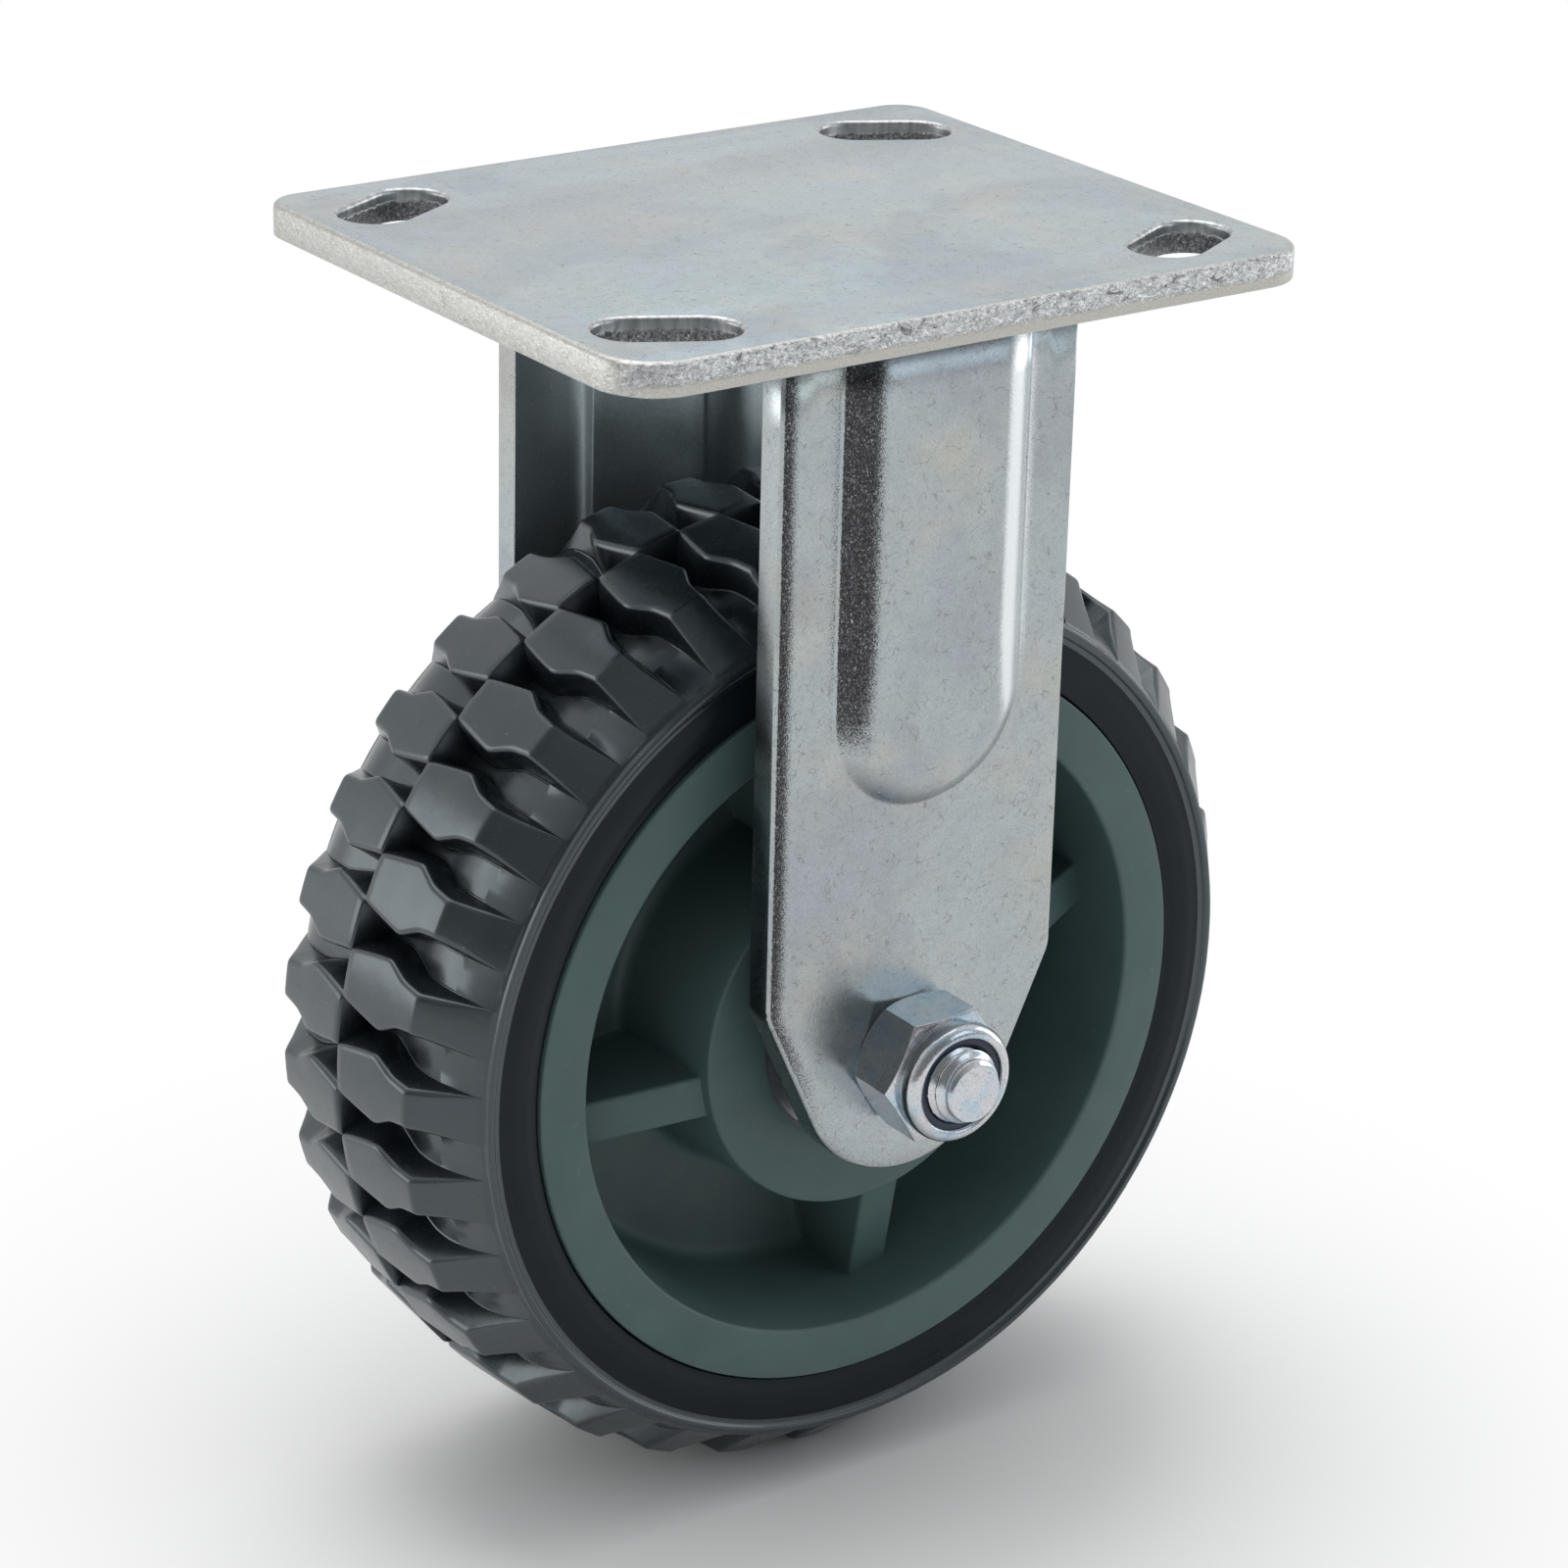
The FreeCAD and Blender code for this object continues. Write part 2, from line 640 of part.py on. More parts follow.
def build_bearing(prefix, side):
    middle = times(side, BEARING_MIDDLE)
    near = middle + " - Sizes.bearing_width / 2"
    far = middle + " + Sizes.bearing_width / 2"
    inner = turned_body(prefix + "_inner_race", ring_section(
        near, far, "Sizes.sleeve_radius + Sizes.fit_clearance", S + "inner_race_radius"))
    outer = turned_body(prefix + "_outer_race", ring_section(
        near, far, S + "outer_race_radius", "Sizes.bearing_radius - Sizes.fit_clearance"))
    # The ball track is an octagon round the ball, a flat facing each race
    octagon = BALL_TRACK + " / cos(180 / 8)"
    for race in (inner, outer):
        groove = start_sketch(race, race.Name + "_track", "YZ_Plane")
        polygon(groove, middle, BALL_CIRCLE, octagon, 8, "180 / 8")
        turn(race, groove, "Groove")
    step = "(Sizes.shield_inset + Sizes.shield_thickness)"
    seat = "Sizes.outer_race_radius + Sizes.shield_seat_depth"
    bore = S + "inner_race_radius"
    cut_turned(outer, prefix + "_near_seat", ring_section(near, near + " + " + step, bore, seat))
    cut_turned(outer, prefix + "_far_seat", ring_section(far + " - " + step, far, bore, seat))
    outer_shield = turned_body(prefix + "_outer_shield", shield_section(middle, side))
    inner_shield = turned_body(prefix + "_inner_shield", shield_section(middle, -side))
    for body in (inner, outer, outer_shield, inner_shield):
        put_on_axle(body)
    build_cage(prefix, middle)
    build_balls(prefix, middle)


# Wheel

def mirrored(half):
    """Adds the other half of a section that is alike on both sides of the wheel."""
    other = []
    for item in reversed(half):
        other.append((negative(item[0]),) + tuple(item[1:]))
    return half + other


def build_wheel_core():
    seat = "Sizes.bearing_radius"
    web_face = "Sizes.web_thickness / 2"
    half = [
        (BEARING_BACK, S + "hub_bore_radius"),
        (BEARING_BACK, seat),
        (CORE_FACE + " - Sizes.hub_mouth_bevel", seat),
        (CORE_FACE, seat + " + Sizes.hub_mouth_bevel"),
        (CORE_FACE, "Sizes.hub_radius - Sizes.hub_edge_bevel"),
        (CORE_FACE + " - Sizes.hub_edge_bevel", S + "hub_radius"),
        (web_face + " + Sizes.web_bevel", S + "hub_root_radius"),
        (web_face, "Sizes.hub_root_radius + Sizes.web_bevel"),
        (web_face, "Sizes.rim_root_radius - Sizes.web_bevel"),
        (web_face + " + Sizes.web_bevel", S + "rim_root_radius"),
        (CORE_FACE + " - Sizes.rim_lip_bevel", S + "rim_lip_radius"),
        (CORE_FACE, "Sizes.rim_lip_radius + Sizes.rim_lip_bevel"),
        (CORE_FACE, S + "rim_radius"),
    ]
    body = turned_body("wheel_core", mirrored(half))
    # One plate through the web makes the spokes of both sides
    inside_hub = "(Sizes.hub_radius + Sizes.bearing_radius) / 2"
    inside_rim = "(Sizes.rim_lip_radius + Sizes.rim_radius) / 2"
    front_hub = CORE_FACE + " - Sizes.spoke_hub_inset"
    front_rim = CORE_FACE + " - Sizes.spoke_rim_inset"
    section = start_sketch(body, "spoke_section", "YZ_Plane")
    outline(section, mirrored([
        (front_hub, inside_hub),
        (front_hub, S + "hub_radius"),
        (front_rim, S + "rim_lip_radius"),
        (front_rim, inside_rim),
    ]))
    spoke = pad(body, section, S + "spoke_width", both_ways=True)
    pattern(body, [spoke], S + "spoke_count")
    put_on_axle(body, S + "spoke_turn")


def groove_station(body, name, side, offset, surface, depth, gap):
    """The cross section of one tread groove at one distance from the wheel's centre plane."""
    sketch = start_sketch(body, name, "XZ_Plane", times(-side, offset))
    if side > 0:
        half_pitch = "180 / Sizes.lug_count"
        shifted = FreeCAD.Rotation(Vector(0, 0, 1), number(half_pitch))
        sketch.AttachmentOffset = FreeCAD.Placement(Vector(0, 0, 0), shifted)
        sketch.setExpression("AttachmentOffset.Rotation.Angle", half_pitch)
    floor = surface + " - " + depth
    top = "Sizes.tyre_radius + Sizes.groove_overcut"
    slope = "tan(Sizes.groove_draft)"
    floor_half = "((" + gap + ") / 2 - (" + depth + ") * " + slope + ")"
    top_half = "((" + gap + ") / 2 + (" + top + " - (" + surface + ")) * " + slope + ")"
    outline(sketch, [
        (negative(floor_half), floor),
        (floor_half, floor),
        (top_half, top),
        (negative(top_half), top),
    ])
    return sketch


def build_tyre():
    half = [
        (CORE_FACE + " - Sizes.bead_inset", "Sizes.rim_radius + Sizes.fit_clearance"),
        (CORE_FACE + " - Sizes.bead_inset", S + "bead_radius"),
        (CORE_FACE + " - Sizes.sidewall_inset", S + "sidewall_radius"),
        (CORE_FACE + " + Sizes.ridge_reach", S + "ridge_radius", S + "ridge_round"),
        (CORE_FACE + " - Sizes.shoulder_inset", S + "shoulder_radius"),
        (TREAD_EDGE, S + "tread_edge_radius"),
    ]
    section = half + [("0", S + "tyre_radius")] + mirrored(half)[len(half):]
    body = turned_body("tyre", section)
    pitch = "(2 * pi * Sizes.tyre_radius / Sizes.lug_count)"
    slope = "(Sizes.tyre_radius - Sizes.tread_edge_radius) / " + TREAD_EDGE
    waist_surface = "(Sizes.tyre_radius - Sizes.lug_waist_offset * " + slope + ")"
    end_surface = "(Sizes.groove_end_radius + Sizes.groove_edge_depth)"
    end_gap = "(Sizes.groove_end_width + 2 * Sizes.groove_edge_depth * tan(Sizes.groove_draft))"
    stations = [
        ("0", S + "tyre_radius", S + "groove_centre_depth", pitch + " / 2 - Sizes.lug_neck"),
        (S + "lug_waist_offset", waist_surface, S + "groove_waist_depth",
         pitch + " - Sizes.lug_waist_width"),
        (TREAD_EDGE, S + "tread_edge_radius", S + "groove_edge_depth",
         pitch + " - Sizes.lug_edge_width"),
        (CORE_FACE + " - Sizes.groove_end_inset", end_surface, S + "groove_edge_depth", end_gap),
    ]
    for side, row in ((-1, "near"), (1, "far")):
        sketches = []
        for i, (offset, surface, depth, gap) in enumerate(stations):
            name = "%s_groove_%d" % (row, i)
            sketches.append(groove_station(body, name, side, offset, surface, depth, gap))
        groove = loft(body, row + "_groove", sketches, "SubtractiveLoft")
        pattern(body, [groove], S + "lug_count")
    put_on_axle(body, S + "tread_turn")


def write_parts():
    doc.recompute()
    for item in doc.Objects:
        if "Invalid" in item.State or "Error" in item.State:
            raise RuntimeError("%s did not build: %s" % (item.Name, item.State))
    for body in subparts:
        shape = body.Shape
        if shape.isNull() or not shape.isValid() or shape.Volume <= 0:
            raise RuntimeError("%s has no valid shape" % body.Label)
    os.makedirs("parts", exist_ok=True)
    for body in subparts:
        body.Shape.exportStep("parts/%s.step" % body.Label)


build_top_plate()
build_leg("nut_side_leg", -1)
build_leg("head_side_leg", 1)
build_weld("nut_side_weld", -1)
build_weld("head_side_weld", 1)
build_axle_bolt()
build_lock_nut()
build_clamped_tube()
build_bearing("nut_side", -1)
build_bearing("head_side", 1)
build_wheel_core()
build_tyre()
write_parts()
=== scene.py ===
import math

import bmesh
import bpy
import numpy as np
from mathutils import Matrix, Vector
from mathutils.geometry import tessellate_polygon


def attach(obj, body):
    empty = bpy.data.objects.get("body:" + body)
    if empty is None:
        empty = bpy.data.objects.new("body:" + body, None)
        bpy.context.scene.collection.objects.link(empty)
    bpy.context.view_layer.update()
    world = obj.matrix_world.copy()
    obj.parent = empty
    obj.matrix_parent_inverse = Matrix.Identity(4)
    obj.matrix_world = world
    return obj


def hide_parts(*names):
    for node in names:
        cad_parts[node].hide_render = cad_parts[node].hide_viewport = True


# Looks of a fixed castor. Sizes are millimetres in the frame of the part: the origin is the
# centre of the mounting face, +Z is up, the wheel rolls along X and the nut is on the -Y side.

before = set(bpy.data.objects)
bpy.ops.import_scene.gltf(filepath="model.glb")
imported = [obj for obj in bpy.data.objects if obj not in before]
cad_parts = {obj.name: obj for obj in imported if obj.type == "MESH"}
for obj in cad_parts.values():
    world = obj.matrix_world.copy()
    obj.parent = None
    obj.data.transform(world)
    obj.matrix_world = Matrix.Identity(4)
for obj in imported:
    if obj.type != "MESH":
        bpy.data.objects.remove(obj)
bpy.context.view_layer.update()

MM = 0.001
AXLE_DROP = 118.8

# Plate and legs
PLATE_LENGTH = 118.6
PLATE_WIDTH = 100.0
PLATE_THICKNESS = 5.0
PLATE_CORNERS = (9.0, 8.3, 6.0, 5.8)
PLATE_ROUND = 0.9
SHEET_ROUND = 0.7
BURR_ROUND = 0.35
SLOT_RADIUS = 5.5
SLOT_OUTER = (48.85, 33.95)
SLOT_INNER = (40.35, 38.45)
LEG_GAP = 64.6
LEG_THICKNESS = 5.0
LEG_FACE = LEG_GAP / 2 + LEG_THICKNESS
LEG_HALF_WIDTH = 26.0
LEG_TAPER_DROP = 107.3
LEG_END_RADIUS = 18.8
LEG_CORNER = 6.0
LEG_HOLE = 6.25
EDGE_BAND = 3.8

# Rib: half widths at its foot, shoulder and crown, outside the leg and in its hollow
RIB_OUTSIDE = (15.6, 12.7, 9.2)
RIB_HOLLOW = (16.4, 13.0, 10.0)
RIB_HEIGHT = 3.2
RIB_RIGHT = 1.1
RIB_END_DROP = 62.8
RIB_FLAT = 18.6
CROWN_FLAT = 2.5
FOOT_EASE = 0.45

# Painted light on the zinc: painted shade on the rib's left wall and the leg's left arris, a painted
# highlight on the rib's right wall
PAINTED_LIGHT_AT_FOOT = 0.4
PAINTED_LIGHT_RISE = 1.9
PAINTED_LIGHT_FADE = 12.0
PAINTED_LIGHT_PAST_END = 8.0
ARRIS_SHADE_FADE = 14.0
ARRIS_SHADE_END_DROP = 118.0
ARRIS_SHADE_LEAST = 0.3

# Bolt and nut
BOLT_RADIUS = 5.95
BOLT_END = LEG_FACE + 16.5
BOLT_POINT = 4.5
POINT_ROUND = 0.35
POINT_SLOPE = 0.5
THREAD_LENGTH = 26.0
THREAD_PITCH = 1.75
THREAD_DEPTH = 0.95
THREAD_RUN_OUT = 2.0
THREAD_FLANK = 1.35
THREAD_ROOT = 0.16
HEX_FLATS = 19.0
HEX_TURN = 2.6
HEX_FACE = 0.975
HEX_HEAD = 7.5
HEAD_SLOPES = (0.0, 0.6)
NUT_HEX = 9.6
NUT_SLOPES = (0.95, 0.4)
NUT_BORE = BOLT_RADIUS + 0.03
NUT_COLLAR = 3.9
NUT_COLLAR_RADIUS = 9.35
NUT_NECK = 8.85
NUT_MOUTH = 6.95
INSERT_RECESS = 0.6
INSERT_LENGTH = 2.0

# Wheel core
CORE_FACE = 26.4
RIM_RADIUS = 57.95
RIM_LIP = 50.0
RIM_ROOT = 47.2
HUB_RADIUS = 28.7
HUB_ROOT = 29.8
HUB_BORE = 13.4
BEARING_RADIUS = 17.5
BEARING_BACK = 13.9
WEB_FACE = 4.0
SPOKE_TURN = 10.8
SPOKE_HUB = 24.5
SPOKE_RIM = 15.8
SPOKE_INTO_HUB = 0.6
SPOKE_INTO_RIM = 0.8

# Tyre
TYRE_RADIUS = 76.2
LUGS = 32
HALF_PITCH = math.pi / LUGS
TREAD_TURN = 4.5
TREAD_SHIFT = 1.0
SHIFT_FADE = 7.0


# Mesh helpers

def add_piece(name, points, faces, body, materials, nodes=(), smooth=38.0, face_slots=None,
              painted_light_shares=None):
    """A mesh piece from points in millimetres, riding on a body and standing for CAD nodes."""
    mesh = bpy.data.meshes.new(name)
    mesh.from_pydata([Vector(point) * MM for point in points], [], faces)
    for material in materials:
        mesh.materials.append(material)
    if face_slots is not None:
        mesh.polygons.foreach_set("material_index", face_slots)
    # The painted light share of each point: painted shade above zero, a painted highlight below
    if painted_light_shares is not None:
        mesh.attributes.new("painted_light", "FLOAT", "POINT").data.foreach_set("value", painted_light_shares)
    work = bmesh.new()
    work.from_mesh(mesh)
    bmesh.ops.remove_doubles(work, verts=work.verts, dist=1e-7)
    bmesh.ops.dissolve_degenerate(work, edges=work.edges, dist=1e-8)
    bmesh.ops.recalc_face_normals(work, faces=work.faces)
    work.to_mesh(mesh)
    work.free()
    mesh.shade_smooth()
    mesh.set_sharp_from_angle(angle=math.radians(smooth))
    piece = bpy.data.objects.new(name, mesh)
    bpy.context.scene.collection.objects.link(piece)
    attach(piece, body)
    if nodes:
        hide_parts(*nodes)
    return piece


def grid_faces(rows, columns, wrap_rows=False, wrap_columns=True):
    """Quads over a grid of points that runs row by row."""
    faces = []
    for row in range(rows if wrap_rows else rows - 1):
        low = row * columns
        high = ((row + 1) % rows) * columns
        for column in range(columns if wrap_columns else columns - 1):
            after = (column + 1) % columns
            faces.append((low + column, low + after, high + after, high + column))
    return faces


def rounded_path(corners, steps=4, closed=True):
    """A path through corners (a, b) or (a, b, radius), with an arc at each radius."""
    count = len(corners)
    path = []
    for i, corner in enumerate(corners):
        here = np.array(corner[:2], float)
        if len(corner) == 2 or (not closed and i in (0, count - 1)):
            path.append(tuple(here))
            continue
        before = np.array(corners[i - 1][:2], float) - here
        after = np.array(corners[(i + 1) % count][:2], float) - here
        before /= np.linalg.norm(before)
        after /= np.linalg.norm(after)
        half = math.acos(max(-1.0, min(1.0, float(before @ after)))) / 2
        middle = before + after
        middle /= np.linalg.norm(middle)
        centre = here + middle * corner[2] / math.sin(half)
        start = here + before * corner[2] / math.tan(half) - centre
        end = here + after * corner[2] / math.tan(half) - centre
        sweep = math.atan2(start[0] * end[1] - start[1] * end[0], float(start @ end))
        for step in range(steps + 1):
            angle = sweep * step / steps
            turned = (
                start[0] * math.cos(angle) - start[1] * math.sin(angle),
                start[0] * math.sin(angle) + start[1] * math.cos(angle))
            path.append((centre[0] + turned[0], centre[1] + turned[1]))
    return path


def on_axle(along, radius, angle):
    """A point by its distance along the axle, its radius and its angle from +X towards +Z."""
    return (radius * math.cos(angle), along, radius * math.sin(angle) - AXLE_DROP)


def lathe(name, section, count, body, materials, nodes=(), smooth=38.0):
    """A turned ring or rod. The section is a closed path of (along, radius)."""
    points = []
    for along, radius in section:
        for column in range(count):
            points.append(on_axle(along, radius, 2 * math.pi * column / count))
    faces = grid_faces(len(section), count, wrap_rows=True)
    return add_piece(name, points, faces, body, materials, nodes, smooth)


def inset_loop(loop, distance):
    """Moves a closed loop to its left, which is where the material is."""
    points = np.array(loop, float)
    before = points - np.roll(points, 1, axis=0)
    after = np.roll(points, -1, axis=0) - points
    before /= np.linalg.norm(before, axis=1)[:, None]
    after /= np.linalg.norm(after, axis=1)[:, None]
    tangent = before + after
    tangent /= np.linalg.norm(tangent, axis=1)[:, None]
    normal = np.stack([-tangent[:, 1], tangent[:, 0]], axis=1)
    stretch = 1 / np.maximum(0.3, np.sum(tangent * after, axis=1))
    return points + normal * (distance * stretch)[:, None]


def edge_levels(top, bottom, upper_round, lower_round, steps=3):
    """Inset and height of each ring down the side of a sheet with rounded edges."""
    levels = []
    for step in range(steps + 1):
        angle = math.pi / 2 * step / steps
        inset = upper_round * (1 - math.sin(angle))
        levels.append((inset, top - upper_round * (1 - math.cos(angle))))
    for step in range(steps + 1):
        angle = math.pi / 2 * step / steps
        inset = lower_round * (1 - math.cos(angle))
        levels.append((inset, bottom + lower_round * (1 - math.sin(angle))))
    return levels


# Materials

def new_material(name):
    material = bpy.data.materials.new(name)
    material.use_nodes = True
    return material, material.node_tree


def feed(tree, socket, value):
    """Sets a socket to a number or a colour, or links a node's output to it."""
    if isinstance(value, (int, float)):
        socket.default_value = value
    elif isinstance(value, tuple):
        socket.default_value = (*value, 1.0)
    else:
        tree.links.new(value, socket)


def coordinates(tree, scale, shift=0.0):
    """Object coordinates. Scale is features per millimetre, one for all axes or one for each."""
    source = tree.nodes.new("ShaderNodeTexCoord")
    mapping = tree.nodes.new("ShaderNodeMapping")
    mapping.inputs["Scale"].default_value = list(np.full(3, scale) / MM)
    mapping.inputs["Location"].default_value = (shift, shift, shift)
    tree.links.new(source.outputs["Object"], mapping.inputs["Vector"])
    return mapping.outputs["Vector"]


def noise(tree, scale, detail=4.0, roughness=0.55, distortion=0.0, shift=0.0):
    node = tree.nodes.new("ShaderNodeTexNoise")
    settings = {"Scale": 1.0, "Detail": detail, "Roughness": roughness, "Distortion": distortion}
    for name, value in settings.items():
        node.inputs[name].default_value = value
    tree.links.new(coordinates(tree, scale, shift), node.inputs["Vector"])
    return node.outputs["Fac"]


def object_part(tree, output, axis):
    """One part of the object's coordinates or of its normal."""
    source = tree.nodes.new("ShaderNodeTexCoord")
    parts = tree.nodes.new("ShaderNodeSeparateXYZ")
    tree.links.new(source.outputs[output], parts.inputs[0])
    return parts.outputs[axis]


def object_height(tree):
    """Height in the frame of the part, in millimetres."""
    return math_node(tree, "DIVIDE", object_part(tree, "Object", 2), MM)


def ramp(tree, value, stops):
    """Maps a value through stops of (position, grey or colour)."""
    node = tree.nodes.new("ShaderNodeValToRGB")
    elements = node.color_ramp.elements
    while len(elements) < len(stops):
        elements.new(0.5)
    for element, (position, colour) in zip(elements, stops):
        element.position = position
        if isinstance(colour, (int, float)):
            colour = (colour, colour, colour)
        element.color = (*colour, 1.0)
    tree.links.new(value, node.inputs["Fac"])
    return node.outputs["Color"]


def math_node(tree, operation, *values):
    node = tree.nodes.new("ShaderNodeMath")
    node.operation = operation
    for socket, value in zip(node.inputs, values):
        feed(tree, socket, value)
    return node.outputs[0]


def product(tree, first, second):
    return math_node(tree, "MULTIPLY", first, second)


def rising(tree, value, place, slope):
    """A value that rises through one half at a place."""
    return math_node(tree, "MULTIPLY_ADD", math_node(tree, "SUBTRACT", value, place), slope, 0.5)


def blend_colour(tree, factor, first, second, mode="MIX"):
    node = tree.nodes.new("ShaderNodeMix")
    node.data_type = "RGBA"
    node.blend_type = mode
    for socket, value in ((node.inputs[0], factor), (node.inputs[6], first), (node.inputs[7], second)):
        feed(tree, socket, value)
    return node.outputs[2]


def tinted(tree, base, shade):
    """A base colour multiplied by a shade."""
    return blend_colour(tree, 1.0, base, shade, "MULTIPLY")


def marked(tree, base, mask, strength, colour):
    """Lays a colour over a base where a mask is high."""
    return blend_colour(tree, product(tree, mask, strength), base, colour)


def strokes(tree, scale, width, share, shift=0.0, distortion=0.8):
    """A mask of short curved hairlines: contours of one noise, kept where another is high."""
    field = noise(tree, scale, detail=2.0, distortion=distortion, shift=shift)
    apart = math_node(tree, "ABSOLUTE", math_node(tree, "SUBTRACT", field, 0.5))
    lines = ramp(tree, apart, [(0.0, 1.0), (width, 0.0)])
    gate = noise(tree, 1.9 * np.array(scale), detail=2.0, shift=shift + 7.0)
    return product(tree, lines, ramp(tree, gate, [(share, 0.0), (share + 0.06, 1.0)]))


def dusted(tree, base, colour, density, size):
    """Adds small dust specks to a base colour, in the cells of one texture."""
    cells = tree.nodes.new("ShaderNodeTexVoronoi")
    cells.inputs["Scale"].default_value = 1.0
    tree.links.new(coordinates(tree, density), cells.inputs["Vector"])
    specks = ramp(tree, cells.outputs["Distance"], [(0.0, 1.0), (size, 0.6), (1.5 * size, 0.0)])
    chosen = ramp(tree, cells.outputs["Color"], [(0.86, 0.0), (0.9, 1.0)])
    return marked(tree, base, specks, chosen, colour)


def dress(material, base, roughness, bumps, metallic=0.0, specular=0.5, tint=(1.0, 1.0, 1.0)):
    """Feeds a material's shader. The bumps stack, each (height, strength, distance in millimetres)."""
    tree = material.node_tree
    shader = tree.nodes["Principled BSDF"]
    settings = {
        "Base Color": base, "Roughness": roughness, "Metallic": metallic,
        "Specular IOR Level": specular, "Specular Tint": tint}
    for name, value in settings.items():
        feed(tree, shader.inputs[name], value)
    normal = None
    for height, strength, distance in bumps:
        node = tree.nodes.new("ShaderNodeBump")
        node.inputs["Strength"].default_value = strength
        node.inputs["Distance"].default_value = distance * MM
        tree.links.new(height, node.inputs["Height"])
        if normal is not None:
            tree.links.new(normal, node.inputs["Normal"])
        normal = node.outputs["Normal"]
    tree.links.new(normal, shader.inputs["Normal"])
    return material


def zinc_material(name, grain_share, tone):
    """Bright zinc on pressed sheet: warm and cool patches, grain and hairlines, and painted light on the
    rib's walls.

    The points' painted light share is above zero for painted shade and below it for a painted highlight.
    """
    material, tree = new_material(name)
    base = ramp(tree, noise(tree, 0.045, roughness=0.6), [
        (0.36, (0.44, 0.485, 0.51)), (0.5, (0.44, 0.485, 0.495)), (0.58, (0.47, 0.495, 0.48)),
        (0.7, (0.51, 0.505, 0.47))])
    grain = noise(tree, 3.2, detail=3.0, roughness=0.75)
    base = tinted(tree, base, ramp(tree, grain, [
        (0.3, 1.0 - 0.16 * grain_share), (0.7, 1.0 + 0.08 * grain_share)]))
    blotches = noise(tree, 0.3, detail=5.0, roughness=0.7, shift=3.0)
    base = tinted(tree, base, ramp(tree, blotches, [(0.35, 0.93), (0.6, 1.0)]))
    smudges = noise(tree, 0.022, detail=3.0, distortion=0.8, shift=70.0)
    base = tinted(tree, base, ramp(tree, smudges, [
        (0.42, (0.90, 0.895, 0.92)), (0.50, (1.0, 1.0, 1.0))]))
    base = tinted(tree, base, tone)
    dark_lines = strokes(tree, 0.32, 0.018, 0.52, distortion=0.2)
    fine_lines = strokes(tree, 0.7, 0.022, 0.5, shift=21.0, distortion=0.3)
    base = marked(tree, base, dark_lines, 0.45, (0.10, 0.10, 0.10))
    base = marked(tree, base, fine_lines, 0.35, (0.16, 0.16, 0.16))
    # Painted shade, dark and sparkling, where the share is above zero; a painted highlight where it is
    # below zero
    share = tree.nodes.new("ShaderNodeAttribute")
    share.attribute_name = "painted_light"
    share = share.outputs["Fac"]
    dither = noise(tree, 4.5, detail=2.0, roughness=0.8, shift=60.0)
    highlight_level = math_node(tree, "SUBTRACT", product(tree, dither, 0.6), share)
    bright = ramp(tree, math_node(tree, "SUBTRACT", highlight_level, 0.3), [(0.25, 0.0), (0.5, 1.0)])
    base = blend_colour(tree, bright, base, (0.76, 0.81, 0.83))
    ragged = math_node(tree, "ADD", share, product(tree, dither, 1.6))
    painted_light = ramp(tree, math_node(tree, "SUBTRACT", ragged, 0.8), [(0.3, 0.0), (0.62, 1.0)])
    sparkle = noise(tree, (3.6, 3.6, 2.4), detail=3.0, roughness=0.8, distortion=0.8, shift=40.0)
    base = blend_colour(tree, painted_light, base, ramp(tree, sparkle, [
        (0.46, (0.036, 0.036, 0.038)), (0.58, (0.09, 0.09, 0.093)), (0.68, (0.42, 0.43, 0.45))]))
    wear = ramp(tree, noise(tree, 0.2, detail=5.0), [(0.3, 0.23), (0.7, 0.31)])
    bumps = [(grain, 0.35 * grain_share, 0.05), (sparkle, 0.2, 0.05)]
    return dress(material, base, wear, bumps, metallic=1.0)


def shaded_inner_zinc_material():
    """A darker, less metallic copy of the zinc for the legs' inner faces: its darker base is painted shade
    between the legs.
    """
    material, tree = new_material("zinc_inner_shaded")
    base = ramp(tree, noise(tree, 0.06), [(0.35, (0.27, 0.33, 0.355)), (0.65, (0.36, 0.42, 0.44))])
    grain = noise(tree, 3.0, detail=3.0, roughness=0.7)
    base = tinted(tree, base, ramp(tree, grain, [(0.3, 0.8), (0.7, 1.1)]))
    lines = strokes(tree, 0.5, 0.014, 0.5, shift=13.0)
    base = marked(tree, base, lines, 0.4, (0.6, 0.62, 0.63))
    return dress(material, base, 0.3, [(grain, 0.3, 0.05)], metallic=0.72)


